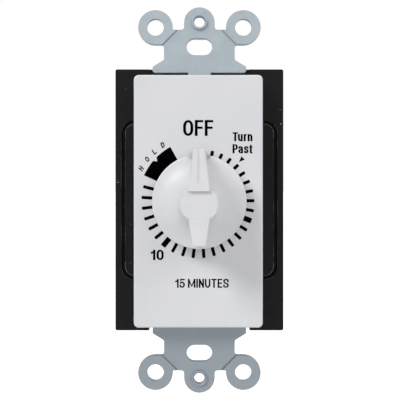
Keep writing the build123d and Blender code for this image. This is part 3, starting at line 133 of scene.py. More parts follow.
# Words and numbers of the scale: text, left, right, bottom and top edge, and the pen's width across
# and up, as shares of a capital's height
scale_words = {
    "off_mark": ("OFF", -4.48 * mm, 3.45 * mm, 17.14 * mm, 21.33 * mm, (0.18, 0.145)),
    "turn_mark": ("Turn", 8.55 * mm, 13.8 * mm, 15.74 * mm, 18.1 * mm, (0.225, 0.155)),
    "past_mark": ("Past", 8.55 * mm, 13.8 * mm, 12.55 * mm, 14.95 * mm, (0.22, 0.13)),
    "ten_mark": ("10", -13.02 * mm, -9.6 * mm, -15.6 * mm, -12.86 * mm, (0.22, 0.17)),
    "minutes_mark": ("15 MINUTES", -6.6 * mm, 7.54 * mm, -22.9 * mm, -20.55 * mm, (0.18, 0.15)),
}
letter_gap = 0.1
close_pairs = {"Tu": 0.0, "Pa": 0.06}
word_gap = 0.24
low_letters = "urnas"
low_letter_height = 0.79

# Plain lettering as pen strokes. Each letter has its width as a share of a capital's height, and its
# strokes: points across and up its box, from 0 to 1, where an r marks a rounded corner and a stroke
# that ends with "close" runs back to its start.
letters = {
    "O": (0.66, [[(0, 0, "r"), (0, 1, "r"), (1, 1, "r"), (1, 0, "r"), "close"]]),
    "F": (0.55, [[(0, 0), (0, 1), (1, 1)], [(0, 0.52), (0.9, 0.52)]]),
    "T": (0.6, [[(0, 1), (1, 1)], [(0.5, 0), (0.5, 1)]]),
    "u": (0.55, [[(0, 1), (0, 0, "r"), (1, 0, "r"), (1, 0.5)], [(1, 0), (1, 1)]]),
    "r": (0.34, [[(0, 0), (0, 1)], [(0, 0.4), (0, 1, "r"), (1, 1)]]),
    "n": (0.55, [[(0, 0), (0, 1)], [(0, 0.5), (0, 1, "r"), (1, 1, "r"), (1, 0)]]),
    "P": (0.64, [[(0, 0), (0, 1), (1, 1, "r"), (1, 0.44, "r"), (0, 0.44)]]),
    "a": (0.58, [[(0.02, 0.8), (0.02, 1, "r"), (0.95, 1, "r"), (0.95, 0)],
                 [(0.95, 0.52), (0, 0.52, "r"), (0, 0, "r"), (0.95, 0.02)]]),
    "s": (0.55, [[(1, 0.76), (1, 1, "r"), (0, 1, "r"), (0, 0.52, "r"), (1, 0.5, "r"), (1, 0, "r"),
                  (0, 0, "r"), (0, 0.24)]]),
    "t": (0.38, [[(0.42, 0.92), (0.42, 0, "r"), (1, 0)], [(0, 0.7), (1, 0.7)]]),
    "1": (0.4, [[(1, 0), (1, 1)], [(0, 0.74), (1, 0.86)]]),
    "0": (0.63, [[(0, 0, "r"), (0, 1, "r"), (1, 1, "r"), (1, 0, "r"), "close"]]),
    "5": (0.6, [[(0.95, 1), (0.1, 1), (0.05, 0.5), (0.05, 0.6, "r"), (1, 0.64, "r"), (1, 0, "r"),
                 (0, 0, "r"), (0, 0.2)]]),
    "M": (0.84, [[(0, 0), (0, 1)], [(0, 1), (0.5, 0.1), (1, 1)], [(1, 0), (1, 1)]]),
    "I": (0.18, [[(0.5, 0), (0.5, 1)]]),
    "N": (0.58, [[(0, 0), (0, 1)], [(0, 1), (1, 0)], [(1, 0), (1, 1)]]),
    "U": (0.62, [[(0, 1), (0, 0, "r"), (1, 0, "r"), (1, 1)]]),
    "E": (0.53, [[(1, 1), (0, 1), (0, 0), (1, 0)], [(0, 0.52), (0.92, 0.52)]]),
    "S": (0.62, [[(1, 0.76), (1, 1, "r"), (0, 1, "r"), (0, 0.54, "r"), (1, 0.46, "r"), (1, 0, "r"),
                  (0, 0, "r"), (0, 0.24)]]),
    "H": (0.62, [[(0, 0), (0, 1)], [(1, 0), (1, 1)], [(0, 0.52), (1, 0.52)]]),
    "L": (0.5, [[(0, 1), (0, 0), (1, 0)]]),
    "D": (0.64, [[(0, 0), (0, 1), (1, 1, "r"), (1, 0, "r"), "close"]]),
}
rounded_corner_steps = 6
roundest_share = 0.31
longest_mitre = 1.5
least_turn = 0.01
same_point_share = 0.02


def linear(colour):
    """An sRGB hex colour as the linear RGBA that a shader takes."""
    channels = [int(colour[place:place + 2], 16) / 255 for place in (1, 3, 5)]
    return tuple(c / 12.92 if c <= 0.04045 else ((c + 0.055) / 1.055) ** 2.4 for c in channels) + (1,)


def per_mm(size):
    """A texture's scale for features of a size in millimetres."""
    return 1 / (size * mm)


def add_node(material, kind, inputs=None, **settings):
    """Adds a node. An input is a value, or the output socket of another node, which is then linked."""
    made = material.node_tree.nodes.new(kind)
    for name, value in settings.items():
        setattr(made, name, value)
    for socket, value in (inputs or {}).items():
        if isinstance(value, bpy.types.NodeSocket):
            material.node_tree.links.new(value, made.inputs[socket])
        else:
            made.inputs[socket].default_value = value
    return made


def new_finish(name, metallic=0.0, roughness=0.5):
    """An empty material with its surface shader, and the object's own coordinates."""
    material = bpy.data.materials.new(name)
    material.use_nodes = True
    shader = material.node_tree.nodes["Principled BSDF"]
    shader.inputs["Metallic"].default_value = metallic
    shader.inputs["Roughness"].default_value = roughness
    place = add_node(material, "ShaderNodeTexCoord").outputs["Object"]
    return material, shader, place


def link(material, output, target):
    material.node_tree.links.new(output, target)


# Zinc-plated and dulled steel strap. It gives the eye a flat blue-grey with a faint cloud of lighter
# and darker zinc, a fine grain, painted shade as dark lines where its edges turn, and painted shade
# that darkens its lower end.
def galvanised_strap_steel():
    material, shader, place = new_finish("galvanised_strap_steel", metallic=0.25, roughness=0.5)
    shader.inputs["Specular IOR Level"].default_value = 0.4
    cloud = add_node(material, "ShaderNodeTexNoise", {
        "Vector": place, "Scale": per_mm(3.5), "Detail": 4.0, "Roughness": 0.6})
    zinc = add_node(material, "ShaderNodeValToRGB", {"Fac": cloud.outputs["Fac"]})
    zinc.color_ramp.elements[0].position = 0.3
    zinc.color_ramp.elements[0].color = linear("#A2ACB3")
    zinc.color_ramp.elements[1].position = 0.72
    zinc.color_ramp.elements[1].color = linear("#ACB6BD")
    height = add_node(material, "ShaderNodeSeparateXYZ", {"Vector": place})
    # Painted shade: the strap's colour darkens towards its lower end
    lower = add_node(material, "ShaderNodeMapRange", {
        "Value": height.outputs["Z"], "From Min": strap_shade_from, "From Max": strap_shade_to,
        "To Min": 0.0, "To Max": 1.0})
    shaded_lower_end = add_node(material, "ShaderNodeMix", {
        "Factor": lower.outputs["Result"], "A": zinc.outputs["Color"], "B": linear("#8F989F")},
        data_type="RGBA")
    # Pits and dust, up to 0.3 mm across. The real ones are finer, and are drawn as coarse as they need to
    # show
    pits = add_node(material, "ShaderNodeMath", {
        0: speckle(material, place, 1.1, 0.12, 0.75), 1: 0.45}, operation="MULTIPLY")
    pitted = add_node(material, "ShaderNodeMix", {
        "Factor": pits.outputs["Value"], "A": shaded_lower_end.outputs["Result"], "B": linear("#6E767C")},
        data_type="RGBA")
    # Painted shade: dark lines along the edges where the surface turns
    edge_shade = add_node(material, "ShaderNodeMath", {
        0: turning_edges(material, 0.25), 1: 0.6}, operation="MULTIPLY")
    colour = add_node(material, "ShaderNodeMix", {
        "Factor": edge_shade.outputs["Value"], "A": pitted.outputs["Result"], "B": linear("#596166")},
        data_type="RGBA")
    link(material, colour.outputs["Result"], shader.inputs["Base Color"])
    # Grit of the plating, 0.25 mm, in the shine and in the relief
    grit = add_node(material, "ShaderNodeTexNoise", {
        "Vector": place, "Scale": per_mm(0.25), "Detail": 3.0, "Roughness": 0.6})
    shine = add_node(material, "ShaderNodeMapRange", {
        "Value": grit.outputs["Fac"], "From Min": 0.3, "From Max": 0.7, "To Min": 0.44, "To Max": 0.56})
    link(material, shine.outputs["Result"], shader.inputs["Roughness"])
    edge = add_node(material, "ShaderNodeBevel", {"Radius": 0.15 * mm}, samples=4)
    relief = add_node(material, "ShaderNodeBump", {
        "Height": grit.outputs["Fac"], "Distance": 0.006 * mm, "Strength": 0.6,
        "Normal": edge.outputs["Normal"]})
    link(material, relief.outputs["Normal"], shader.inputs["Normal"])
    return material


# Injection-moulded ABS, satin from a fine-sparked mould. It gives the eye a clean cool white with soft
# edges, and a sheen that is even but never mirror-like.
def moulded_white_abs():
    material, shader, place = new_finish("moulded_white_abs", roughness=0.42)
    shade = add_node(material, "ShaderNodeTexNoise", {"Vector": place, "Scale": per_mm(14), "Detail": 2.0})
    colour = add_node(material, "ShaderNodeValToRGB", {"Fac": shade.outputs["Fac"]})
    colour.color_ramp.elements[0].position = 0.35
    colour.color_ramp.elements[0].color = linear("#D6D7DA")
    colour.color_ramp.elements[1].position = 0.65
    colour.color_ramp.elements[1].color = linear("#DADADD")
    link(material, colour.outputs["Color"], shader.inputs["Base Color"])
    # Spark texture of the mould, 0.18 mm, which is coarser than the real one so that it shows
    spark = add_node(material, "ShaderNodeTexNoise", {"Vector": place, "Scale": per_mm(0.18), "Detail": 2.0})
    shine = add_node(material, "ShaderNodeMapRange", {
        "Value": spark.outputs["Fac"], "From Min": 0.3, "From Max": 0.7, "To Min": 0.38, "To Max": 0.46})
    link(material, shine.outputs["Result"], shader.inputs["Roughness"])
    edge = add_node(material, "ShaderNodeBevel", {"Radius": 0.12 * mm}, samples=4)
    relief = add_node(material, "ShaderNodeBump", {
        "Height": spark.outputs["Fac"], "Distance": 0.003 * mm, "Strength": 0.5,
        "Normal": edge.outputs["Normal"]})
    link(material, relief.outputs["Normal"], shader.inputs["Normal"])
    return material


# The knob's moulded ABS, from a smoother cavity than the cover's. It gives the eye the same white, with
# long faint waves in place of the spark texture and a soft highlight on the bell.
def polished_white_abs():
    material, shader, place = new_finish("polished_white_abs", roughness=0.42)
    shader.inputs["Specular IOR Level"].default_value = 0.45
    shade = add_node(material, "ShaderNodeTexNoise", {"Vector": place, "Scale": per_mm(9), "Detail": 2.0})
    colour = add_node(material, "ShaderNodeValToRGB", {"Fac": shade.outputs["Fac"]})
    colour.color_ramp.elements[0].position = 0.35
    colour.color_ramp.elements[0].color = linear("#D7D8DA")
    colour.color_ramp.elements[1].position = 0.65
    colour.color_ramp.elements[1].color = linear("#DDDDDF")
    link(material, colour.outputs["Color"], shader.inputs["Base Color"])
    # Long faint waves where the plastic flowed, 1.6 mm
    flow = add_node(material, "ShaderNodeTexNoise", {"Vector": place, "Scale": per_mm(1.6), "Detail": 2.0})
    edge = add_node(material, "ShaderNodeBevel", {"Radius": 0.2 * mm}, samples=4)
    relief = add_node(material, "ShaderNodeBump", {
        "Height": flow.outputs["Fac"], "Distance": 0.01 * mm, "Strength": 0.35,
        "Normal": edge.outputs["Normal"]})
    link(material, relief.outputs["Normal"], shader.inputs["Normal"])
    return material


# Compression-moulded black phenolic. It gives the eye a matt black with a slight mottle, pale specks of
# filler and dust, a few short level scuffs from handling, edges worn to grey in places, a painted highlight
# on the edges at the panel's corners, and painted shade in its grooves.
def moulded_black_phenolic():
    material, shader, place = new_finish("moulded_black_phenolic", roughness=0.5)
    shader.inputs["Specular IOR Level"].default_value = 0.12
    mottle = add_node(material, "ShaderNodeTexNoise", {
        "Vector": place, "Scale": per_mm(2.5), "Detail": 5.0, "Roughness": 0.65})
    black = add_node(material, "ShaderNodeValToRGB", {"Fac": mottle.outputs["Fac"]})
    black.color_ramp.elements[0].position = 0.3
    black.color_ramp.elements[0].color = linear("#0D0D0F")
    black.color_ramp.elements[1].position = 0.75
    black.color_ramp.elements[1].color = linear("#161618")
    # Bright specks in few cells, faint ones in more, the scuffs, the worn edges, and the painted highlight on
    # the edges at the panel's corners
    faint_specks = add_node(material, "ShaderNodeMath", {
        0: speckle(material, place, 1.7, 0.16, 0.86), 1: 0.2}, operation="MULTIPLY")
    marks = [
        (speckle(material, place, 3.2, 0.11, 0.95), "#C4C4C6"),
        (faint_specks.outputs["Value"], "#9A9A9C"),
        (scuffs(material, place), "#A8A8AC"),
        (worn_edges_and_corner_glint(material, place), "#A6A6A9"),
    ]
    marked = black.outputs["Color"]
    for share, paler in marks:
        marked = add_node(material, "ShaderNodeMix", {
            "Factor": share, "A": marked, "B": linear(paler)}, data_type="RGBA").outputs["Result"]
    # Painted shade: the grooves and recesses that the occlusion finds are darkened towards black
    occlusion = add_node(material, "ShaderNodeAmbientOcclusion", {"Distance": 1.6 * mm}, samples=8)
    groove_shade = add_node(material, "ShaderNodeMapRange", {
        "Value": occlusion.outputs["AO"], "From Min": 0.55, "From Max": 0.9, "To Min": 0.85, "To Max": 0.0})
    colour = add_node(material, "ShaderNodeMix", {
        "Factor": groove_shade.outputs["Result"], "A": marked, "B": linear("#040405")},
        data_type="RGBA")
    link(material, colour.outputs["Result"], shader.inputs["Base Color"])
    edge = add_node(material, "ShaderNodeBevel", {"Radius": 0.12 * mm}, samples=4)
    relief = add_node(material, "ShaderNodeBump", {
        "Height": mottle.outputs["Fac"], "Distance": 0.02 * mm, "Strength": 0.5,
        "Normal": edge.outputs["Normal"]})
    link(material, relief.outputs["Normal"], shader.inputs["Normal"])
    return material


def speckle(material, place, spacing, radius, rarity):
    """1 on round specks. The spacing of their cells and their radius are in millimetres, and the rarity is
    the share of the cells that have none."""
    cells = add_node(material, "ShaderNodeTexVoronoi", {
        "Vector": place, "Scale": per_mm(spacing), "Randomness": 1.0}, feature="F1")
    near = add_node(material, "ShaderNodeMapRange", {
        "Value": cells.outputs["Distance"], "From Min": radius / spacing,
        "From Max": 1.4 * radius / spacing, "To Min": 1.0, "To Max": 0.0})
    lot = add_node(material, "ShaderNodeSeparateColor", {"Color": cells.outputs["Color"]})
    chosen = add_node(material, "ShaderNodeMath", {
        0: lot.outputs["Red"], 1: rarity}, operation="GREATER_THAN")
    return add_node(material, "ShaderNodeMath", {
        0: near.outputs["Result"], 1: chosen.outputs["Value"]}, operation="MULTIPLY").outputs["Value"]


def scuffs(material, place):
    """Up to 1 on a few thin level strokes, up to 3 mm long."""
    # The turn comes after the stretch, so it doesn't slant the strokes and only moves them
    turned = add_node(material, "ShaderNodeMapping", {
        "Vector": place, "Rotation": (0, radians(40), 0), "Scale": (per_mm(3.2), per_mm(3.2), per_mm(0.45))})
    strokes = add_node(material, "ShaderNodeTexNoise", {
        "Vector": turned.outputs["Vector"], "Scale": 1.0, "Detail": 1.0})
    return add_node(material, "ShaderNodeMapRange", {
        "Value": strokes.outputs["Fac"], "From Min": 0.76, "From Max": 0.84,
        "To Min": 0.0, "To Max": 0.6}).outputs["Result"]


def turning_edges(material, radius):
    """Up to 1 where the surface turns an edge, within a radius in millimetres."""
    rounded = add_node(material, "ShaderNodeBevel", {"Radius": radius * mm}, samples=6)
    flat = add_node(material, "ShaderNodeNewGeometry")
    along = add_node(material, "ShaderNodeVectorMath", {
        0: rounded.outputs["Normal"], 1: flat.outputs["True Normal"]}, operation="DOT_PRODUCT")
    return add_node(material, "ShaderNodeMapRange", {
        "Value": along.outputs["Value"], "From Min": 0.97, "From Max": 0.75,
        "To Min": 0.0, "To Max": 1.0}).outputs["Result"]


def worn_edges_and_corner_glint(material, place):
    """Up to 1 where an edge turns: worn patches about 4 mm long, and a painted highlight at the front panel's
    corners.
    """
    patches = add_node(material, "ShaderNodeTexNoise", {"Vector": place, "Scale": per_mm(4), "Detail": 3.0})
    worn = add_node(material, "ShaderNodeMapRange", {
        "Value": patches.outputs["Fac"], "From Min": 0.48, "From Max": 0.62, "To Min": 0.08, "To Max": 0.5})
    # Painted highlight: paler edges round the rounded corners of the front's panel
    quarter = add_node(material, "ShaderNodeVectorMath", {0: place}, operation="ABSOLUTE")
    away = add_node(material, "ShaderNodeVectorMath", {
        0: quarter.outputs["Vector"], 1: panel_corner}, operation="DISTANCE")
    corner_glint = add_node(material, "ShaderNodeMapRange", {
        "Value": away.outputs["Value"], "From Min": 1.12 * panel_corner_radius,
        "From Max": 1.25 * panel_corner_radius, "To Min": 1.0, "To Max": 0.0})
    most = add_node(material, "ShaderNodeMath", {
        0: worn.outputs["Result"], 1: corner_glint.outputs["Result"]}, operation="MAXIMUM")
    return add_node(material, "ShaderNodeMath", {
        0: turning_edges(material, 0.25), 1: most.outputs["Value"]}, operation="MULTIPLY").outputs["Value"]


# A metal of the movement: its colour range, its shine, and the lines that rolling or turning left, with
# their spacing and length in millimetres. Where they are as long as they are wide, they are a grain. They
# are coarser than the real ones, so that they show up close.
def worked_metal(name, dark, light, roughness, line_spacing, line_length, line_axis):
    material, shader, place = new_finish(name, metallic=1.0, roughness=roughness)
    stretch = [per_mm(line_length)] * 3
    stretch["XYZ".index(line_axis)] = per_mm(line_spacing)
    stretched = add_node(material, "ShaderNodeMapping", {"Vector": place, "Scale": stretch})
    lines = add_node(material, "ShaderNodeTexNoise", {
        "Vector": stretched.outputs["Vector"], "Scale": 1.0, "Detail": 3.0})
    colour = add_node(material, "ShaderNodeValToRGB", {"Fac": lines.outputs["Fac"]})
    colour.color_ramp.elements[0].position = 0.3
    colour.color_ramp.elements[0].color = linear(dark)
    colour.color_ramp.elements[1].position = 0.7
    colour.color_ramp.elements[1].color = linear(light)
    link(material, colour.outputs["Color"], shader.inputs["Base Color"])
    shine = add_node(material, "ShaderNodeMapRange", {
        "Value": lines.outputs["Fac"], "From Min": 0.3, "From Max": 0.7,
        "To Min": roughness - 0.05, "To Max": roughness + 0.08})
    link(material, shine.outputs["Result"], shader.inputs["Roughness"])
    edge = add_node(material, "ShaderNodeBevel", {"Radius": 0.06 * mm}, samples=4)
    relief = add_node(material, "ShaderNodeBump", {
        "Height": lines.outputs["Fac"], "Distance": 0.004 * mm, "Strength": 0.4,
        "Normal": edge.outputs["Normal"]})
    link(material, relief.outputs["Normal"], shader.inputs["Normal"])
    return material


# Vulcanised fibre sheet. It gives the eye a dry red-brown card with short pale fibres.
def pressed_vulcanised_fibre():
    material, shader, place = new_finish("pressed_vulcanised_fibre", roughness=0.75)
    stretched = add_node(material, "ShaderNodeMapping", {
        "Vector": place, "Scale": (per_mm(1.8), per_mm(0.3), per_mm(0.25))})
    fibres = add_node(material, "ShaderNodeTexNoise", {
        "Vector": stretched.outputs["Vector"], "Scale": 1.0, "Detail": 4.0, "Roughness": 0.7})
    colour = add_node(material, "ShaderNodeValToRGB", {"Fac": fibres.outputs["Fac"]})
    colour.color_ramp.elements[0].position = 0.35
    colour.color_ramp.elements[0].color = linear("#5A3526")
    colour.color_ramp.elements[1].position = 0.75
    colour.color_ramp.elements[1].color = linear("#7A5540")
    link(material, colour.outputs["Color"], shader.inputs["Base Color"])
    relief = add_node(material, "ShaderNodeBump", {
        "Height": fibres.outputs["Fac"], "Distance": 0.02 * mm, "Strength": 0.5})
    link(material, relief.outputs["Normal"], shader.inputs["Normal"])
    return material


# Pad-printed ink. It gives the eye a solid, matt and slightly uneven black.
def pad_printed_ink():
    material, shader, place = new_finish("pad_printed_ink", roughness=0.5)
    shader.inputs["Specular IOR Level"].default_value = 0.0
    film = add_node(material, "ShaderNodeTexNoise", {"Vector": place, "Scale": per_mm(0.3), "Detail": 3.0})
    colour = add_node(material, "ShaderNodeValToRGB", {"Fac": film.outputs["Fac"]})
    colour.color_ramp.elements[0].position = 0.3
    colour.color_ramp.elements[0].color = linear("#020203")
    colour.color_ramp.elements[1].position = 0.8
    colour.color_ramp.elements[1].color = linear("#060607")
    link(material, colour.outputs["Color"], shader.inputs["Base Color"])
    return material


# Every node of the frame by the finish it has
def dress_nodes():
    # Steel from the lathe: a bright neutral grey with fine rings
    turned_steel = worked_metal("turned_steel", "#9A9B9D", "#B4B5B7", 0.28, 0.12, 0.4, "Y")
    # Nickelled steel strip from the press: a warm pale grey with the roll's lines
    stamped_steel = worked_metal("stamped_nickelled_steel", "#A9A9A5", "#B7B7B2", 0.32, 0.15, 5.0, "Z")
    # Screws with bright zinc: a cool pale grey, a little duller, without lines
    plated_screw = worked_metal("bright_zinc_plated_screws", "#B0B4B8", "#BEC2C6", 0.36, 0.3, 0.3, "Y")
    # Brass strip from the roll: a muted yellow with long lines
    rolled_brass = worked_metal("rolled_brass", "#BA9F58", "#C6AB66", 0.32, 0.1, 6.0, "X")
    # Spring strip blued by heat: a dark blue-grey with a sharp shine
    blued_spring = worked_metal("blued_spring_strip", "#343A4C", "#4A5166", 0.3, 0.1, 4.0, "Z")
    # Phosphor bronze strip from the roll: a reddish brown with long lines
    bronze_strip = worked_metal("rolled_phosphor_bronze", "#AE7750", "#BA845A", 0.32, 0.1, 5.0, "X")
    # Silver alloy headed cold: nearly white, and the smoothest of them
    silver_alloy = worked_metal("cold_headed_silver_alloy", "#CFCFCB", "#E0E0DC", 0.26, 0.1, 0.1, "Z")
    black = moulded_black_phenolic()
    finishes = {
        galvanised_strap_steel(): ["mounting_yoke"],
        moulded_white_abs(): ["dial_cover"],
        polished_white_abs(): ["timer_knob"],
        black: ["front_housing", "rear_housing", "switch_base", "switch_cam"],
        stamped_steel: [
            "front_plate", "back_plate", "stop_arm", "pallet_lever", "clutch_collar", "knob_clip"],
        turned_steel: [
            "plate_pillars", "main_arbor", "second_pinion", "third_pinion", "escape_pinion", "pallet_arbor",
            "pallet_pins", "balance_staff", "stop_pin", "mainspring_post", "impulse_pin", "hairspring_stud"],
        plated_screw: [
            "yoke_rivets", "housing_screws", "movement_screws", "pillar_nuts", "base_screws",
            "terminal_screws"],
        blued_spring: ["mainspring", "hairspring", "clutch_spring", "contact_spring"],
        rolled_brass: [
            "main_wheel", "second_wheel", "third_wheel", "escape_wheel", "balance_wheel", "arbor_bushing",
            "hairspring_collet", "line_terminal", "load_terminal", "contact_pivot"],
        bronze_strip: ["contact_arm", "fixed_blade"],
        silver_alloy: ["moving_contact", "fixed_contact"],
        pressed_vulcanised_fibre(): ["insulating_card"],
    }
    for finish, nodes in finishes.items():
        for name in nodes:
            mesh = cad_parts[name].data
            mesh.materials.clear()
            mesh.materials.append(finish)


def new_piece(name, build, finish):
    """Makes a piece of what was built."""
    mesh = bpy.data.meshes.new(name)
    build.to_mesh(mesh)
    build.free()
    mesh.materials.append(finish)
    piece = bpy.data.objects.new(name, mesh)
    bpy.context.scene.collection.objects.link(piece)
    return piece


def raise_outline(build, outline, rear_depth, front_depth):
    """Fills a closed (x, z) outline between two depths."""
    rear = [build.verts.new((x, rear_depth, z)) for x, z in outline]
    front = [build.verts.new((x, front_depth, z)) for x, z in outline]
    build.faces.new(front)
    build.faces.new(list(reversed(rear)))
    for place in range(len(outline)):
        after = (place + 1) % len(outline)
        build.faces.new((rear[place], rear[after], front[after], front[place]))


def cut_threads(steel):
    """A triangular ridge that winds round the wall of each plate-screw hole, and runs out at its ends."""
    steps = round(thread_turns * thread_turn_steps)
    for name, middle in (("upper_thread", plate_screw_height), ("lower_thread", -plate_screw_height)):
        build = bmesh.new()
        rows = []
        for step in range(steps + 1):
            turn = 2 * pi * step / thread_turn_steps
            depth = thread_front + thread_pitch * step / thread_turn_steps
            crest = thread_root_radius - thread_run_out if step in (0, steps) else thread_crest_radius
            profile = (
                (thread_root_radius, depth - thread_half_width), (crest, depth),
                (thread_root_radius, depth + thread_half_width))
            rows.append([build.verts.new((radius * cos(turn), place, middle + radius * sin(turn)))
                         for radius, place in profile])
        for one, two in zip(rows, rows[1:]):
            for a, b in ((0, 1), (1, 2), (2, 0)):
                build.faces.new((one[a], one[b], two[b], two[a]))
        build.faces.new(rows[0])
        build.faces.new(list(reversed(rows[-1])))
        bmesh.ops.recalc_face_normals(build, faces=build.faces)
        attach(new_piece(name, build, steel), "case")


def tear_slot_lip(steel):
    """The small teeth that the press left on the upper slot's edge, of which every second is longer."""
    build = bmesh.new()
    for place, across in enumerate(lip_teeth):
        tall = lip_depth * (lip_longer_share if place % 2 else 1)
        half = lip_tooth_half_width
        raise_outline(build, [
            (across - half, lip_height + lip_depth), (across - half / 2, lip_height - tall),
            (across + half / 2, lip_height - tall * lip_slant_share), (across + half, lip_height + lip_depth),
        ], lip_rear, lip_front)
    bmesh.ops.recalc_face_normals(build, faces=build.faces)
    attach(new_piece("upper_slot_lip", build, steel), "case")


def bend_contact_spring():
    """The leaf spring as short lengths, from its root in the case to its foot, which rides on the arm."""
    # Its root is the box's left end, and its foot the right one
    root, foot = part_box("contact_spring")
    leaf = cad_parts["contact_spring"].data
    length = foot.x - root.x
    build = bmesh.new()
    build.from_mesh(leaf)
    for step in range(1, leaf_lengths):
        bmesh.ops.bisect_plane(
            build, geom=build.verts[:] + build.edges[:] + build.faces[:], dist=leaf_cut_nearness,
            plane_co=(root.x + length * step / leaf_lengths, 0, 0), plane_no=(1, 0, 0))
    piece = new_piece("bending_contact_spring", build, leaf.materials[0])
    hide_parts("contact_spring")
    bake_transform(piece)


def on_cover(reach, angle):
    """The (x, z) of a point of the scale, by its distance from the middle and its angle from the top."""
    return (print_offset + reach * sin(radians(angle)), reach * cos(radians(angle)))


def printed(name, outlines, ink):
    """Raises closed (x, z) outlines by the thickness of the ink, as one piece on the cover's face."""
    build = bmesh.new()
    for outline in outlines:
        raise_outline(build, outline, cover_face + ink_sink, cover_face - ink_height)
    bmesh.ops.recalc_face_normals(build, faces=build.faces)
    bmesh.ops.triangulate(build, faces=[face for face in build.faces if len(face.verts) > 4])
    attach(new_piece(name, build, ink), "case")


def mark_outline(inner, outer, width, angle):
    """A radial mark whose two outer corners are chamfered."""
    half, corner = width / 2, minute_mark_corner
    points = [
        (-half, inner), (half, inner), (half, outer - corner), (half - corner, outer),
        (-half + corner, outer), (-half, outer - corner)]
    turn = radians(angle)
    return [(print_offset + x * cos(turn) + r * sin(turn), -x * sin(turn) + r * cos(turn))
            for x, r in points]


def print_minute_marks(ink):
    outlines = []
    for number in range(1, minute_mark_count + 1):
        grown = min(1, (number - 1) / (last_mark_growing - 1))
        outer = first_mark_reach + (last_mark_reach - first_mark_reach) * grown
        width = bold_mark_width if number % bold_mark_every == 0 else minute_mark_width
        angle = minute_mark_start + minute_mark_step * number
        outlines.append(mark_outline(mark_inner_reach, outer, width, angle))
    printed("minute_marks", outlines, ink)


def print_hold_band(ink):
    """The band of the hold range, with a notch in its outer edge."""
    notch_half_angle = hold_notch_half_width / hold_outer_reach * 180 / pi
    outline = []
    for start, end in ((hold_start, hold_notch_angle - notch_half_angle),
                       (hold_notch_angle + notch_half_angle, hold_end)):
        steps = hold_arc_steps // 2
        for step in range(steps + 1):
            outline.append(on_cover(hold_outer_reach, start + (end - start) * step / steps))
        if start == hold_start:
            outline.append(on_cover(hold_notch_reach, hold_notch_angle))
    for step in range(hold_arc_steps + 1):
        angle = hold_end + (hold_start - hold_end) * step / hold_arc_steps
        outline.append(on_cover(hold_inner_reach, angle))
    printed("hold_band", [outline], ink)


def print_arrow(ink):
    spread = atan2(arrow_half_width, arrow_outer_reach) * 180 / pi
    printed("turn_past_arrow", [[
        on_cover(arrow_inner_reach, arrow_angle),
        on_cover(arrow_outer_reach, arrow_angle + spread),
        on_cover(arrow_outer_reach, arrow_angle - spread)]], ink)


def pen_line(points, width, height, pen):
    """The line that a pen's middle follows in a letter's box, with its rounded corners drawn out."""
    closed = points[-1] == "close"
    corners = points[:-1] if closed else points
    middle = [Vector((pen[0] / 2 + point[0] * (width - pen[0]), pen[1] / 2 + point[1] * (height - pen[1])))
              for point in corners]
    line = []
    for place, point in enumerate(corners):
        here = middle[place]
        if len(point) < 3:
            line.append(here)
            continue
        before, after = middle[place - 1] - here, middle[(place + 1) % len(middle)] - here
        reach_in = min(before.length / 2, roundest_share * height)
        reach_out = min(after.length / 2, roundest_share * height)
        for step in range(rounded_corner_steps + 1):
            turn = pi / 2 * step / rounded_corner_steps
            line.append(here + before.normalized() * reach_in * (1 - sin(turn))
                        + after.normalized() * reach_out * (1 - cos(turn)))
    # Where two corners meet, their shared point is kept once
    shortest = pen[0] * same_point_share
    line = [here for place, here in enumerate(line)
            if (here - line[place - 1]).length > shortest or (place == 0 and not closed)]
    return line, closed


def pen_stroke(line, closed, pen):
    """A flat solid as wide as the pen along a line, with mitred corners and square ends."""
    count = len(line)
    build = bmesh.new()
    rows = []
    for place, here in enumerate(line):
        ahead = (line[(place + 1) % count] - here).normalized()
        behind = (here - line[place - 1]).normalized()
        if not closed and place == 0:
            behind = ahead
        if not closed and place == count - 1:
            ahead = behind
        along = (ahead + behind).normalized()
        mitre = min(longest_mitre, 1 / max(along.dot(ahead), least_turn))
        aside = Vector((-along.y * pen[0], along.x * pen[1])) / 2 * mitre
        end = Vector((along.x * pen[0], along.y * pen[1])) / 2
        if not closed and place == 0:
            here = here - end
        if not closed and place == count - 1:
            here = here + end
        rows.append([build.verts.new((point.x, depth, point.y))
                     for depth in (0, 1) for point in (here + aside, here - aside)])
    for place in range(count if closed else count - 1):
        one, two = rows[place], rows[(place + 1) % count]
        for a, b in ((0, 1), (1, 3), (3, 2), (2, 0)):
            build.faces.new((one[a], one[b], two[b], two[a]))
    if not closed:
        for row in (rows[0], rows[-1]):
            build.faces.new((row[0], row[1], row[3], row[2]))
    bmesh.ops.recalc_face_normals(build, faces=build.faces)
    mesh = bpy.data.meshes.new("stroke")
    build.to_mesh(mesh)
    build.free()
    stroke = bpy.data.objects.new("stroke", mesh)
    bpy.context.scene.collection.objects.link(stroke)
    return stroke


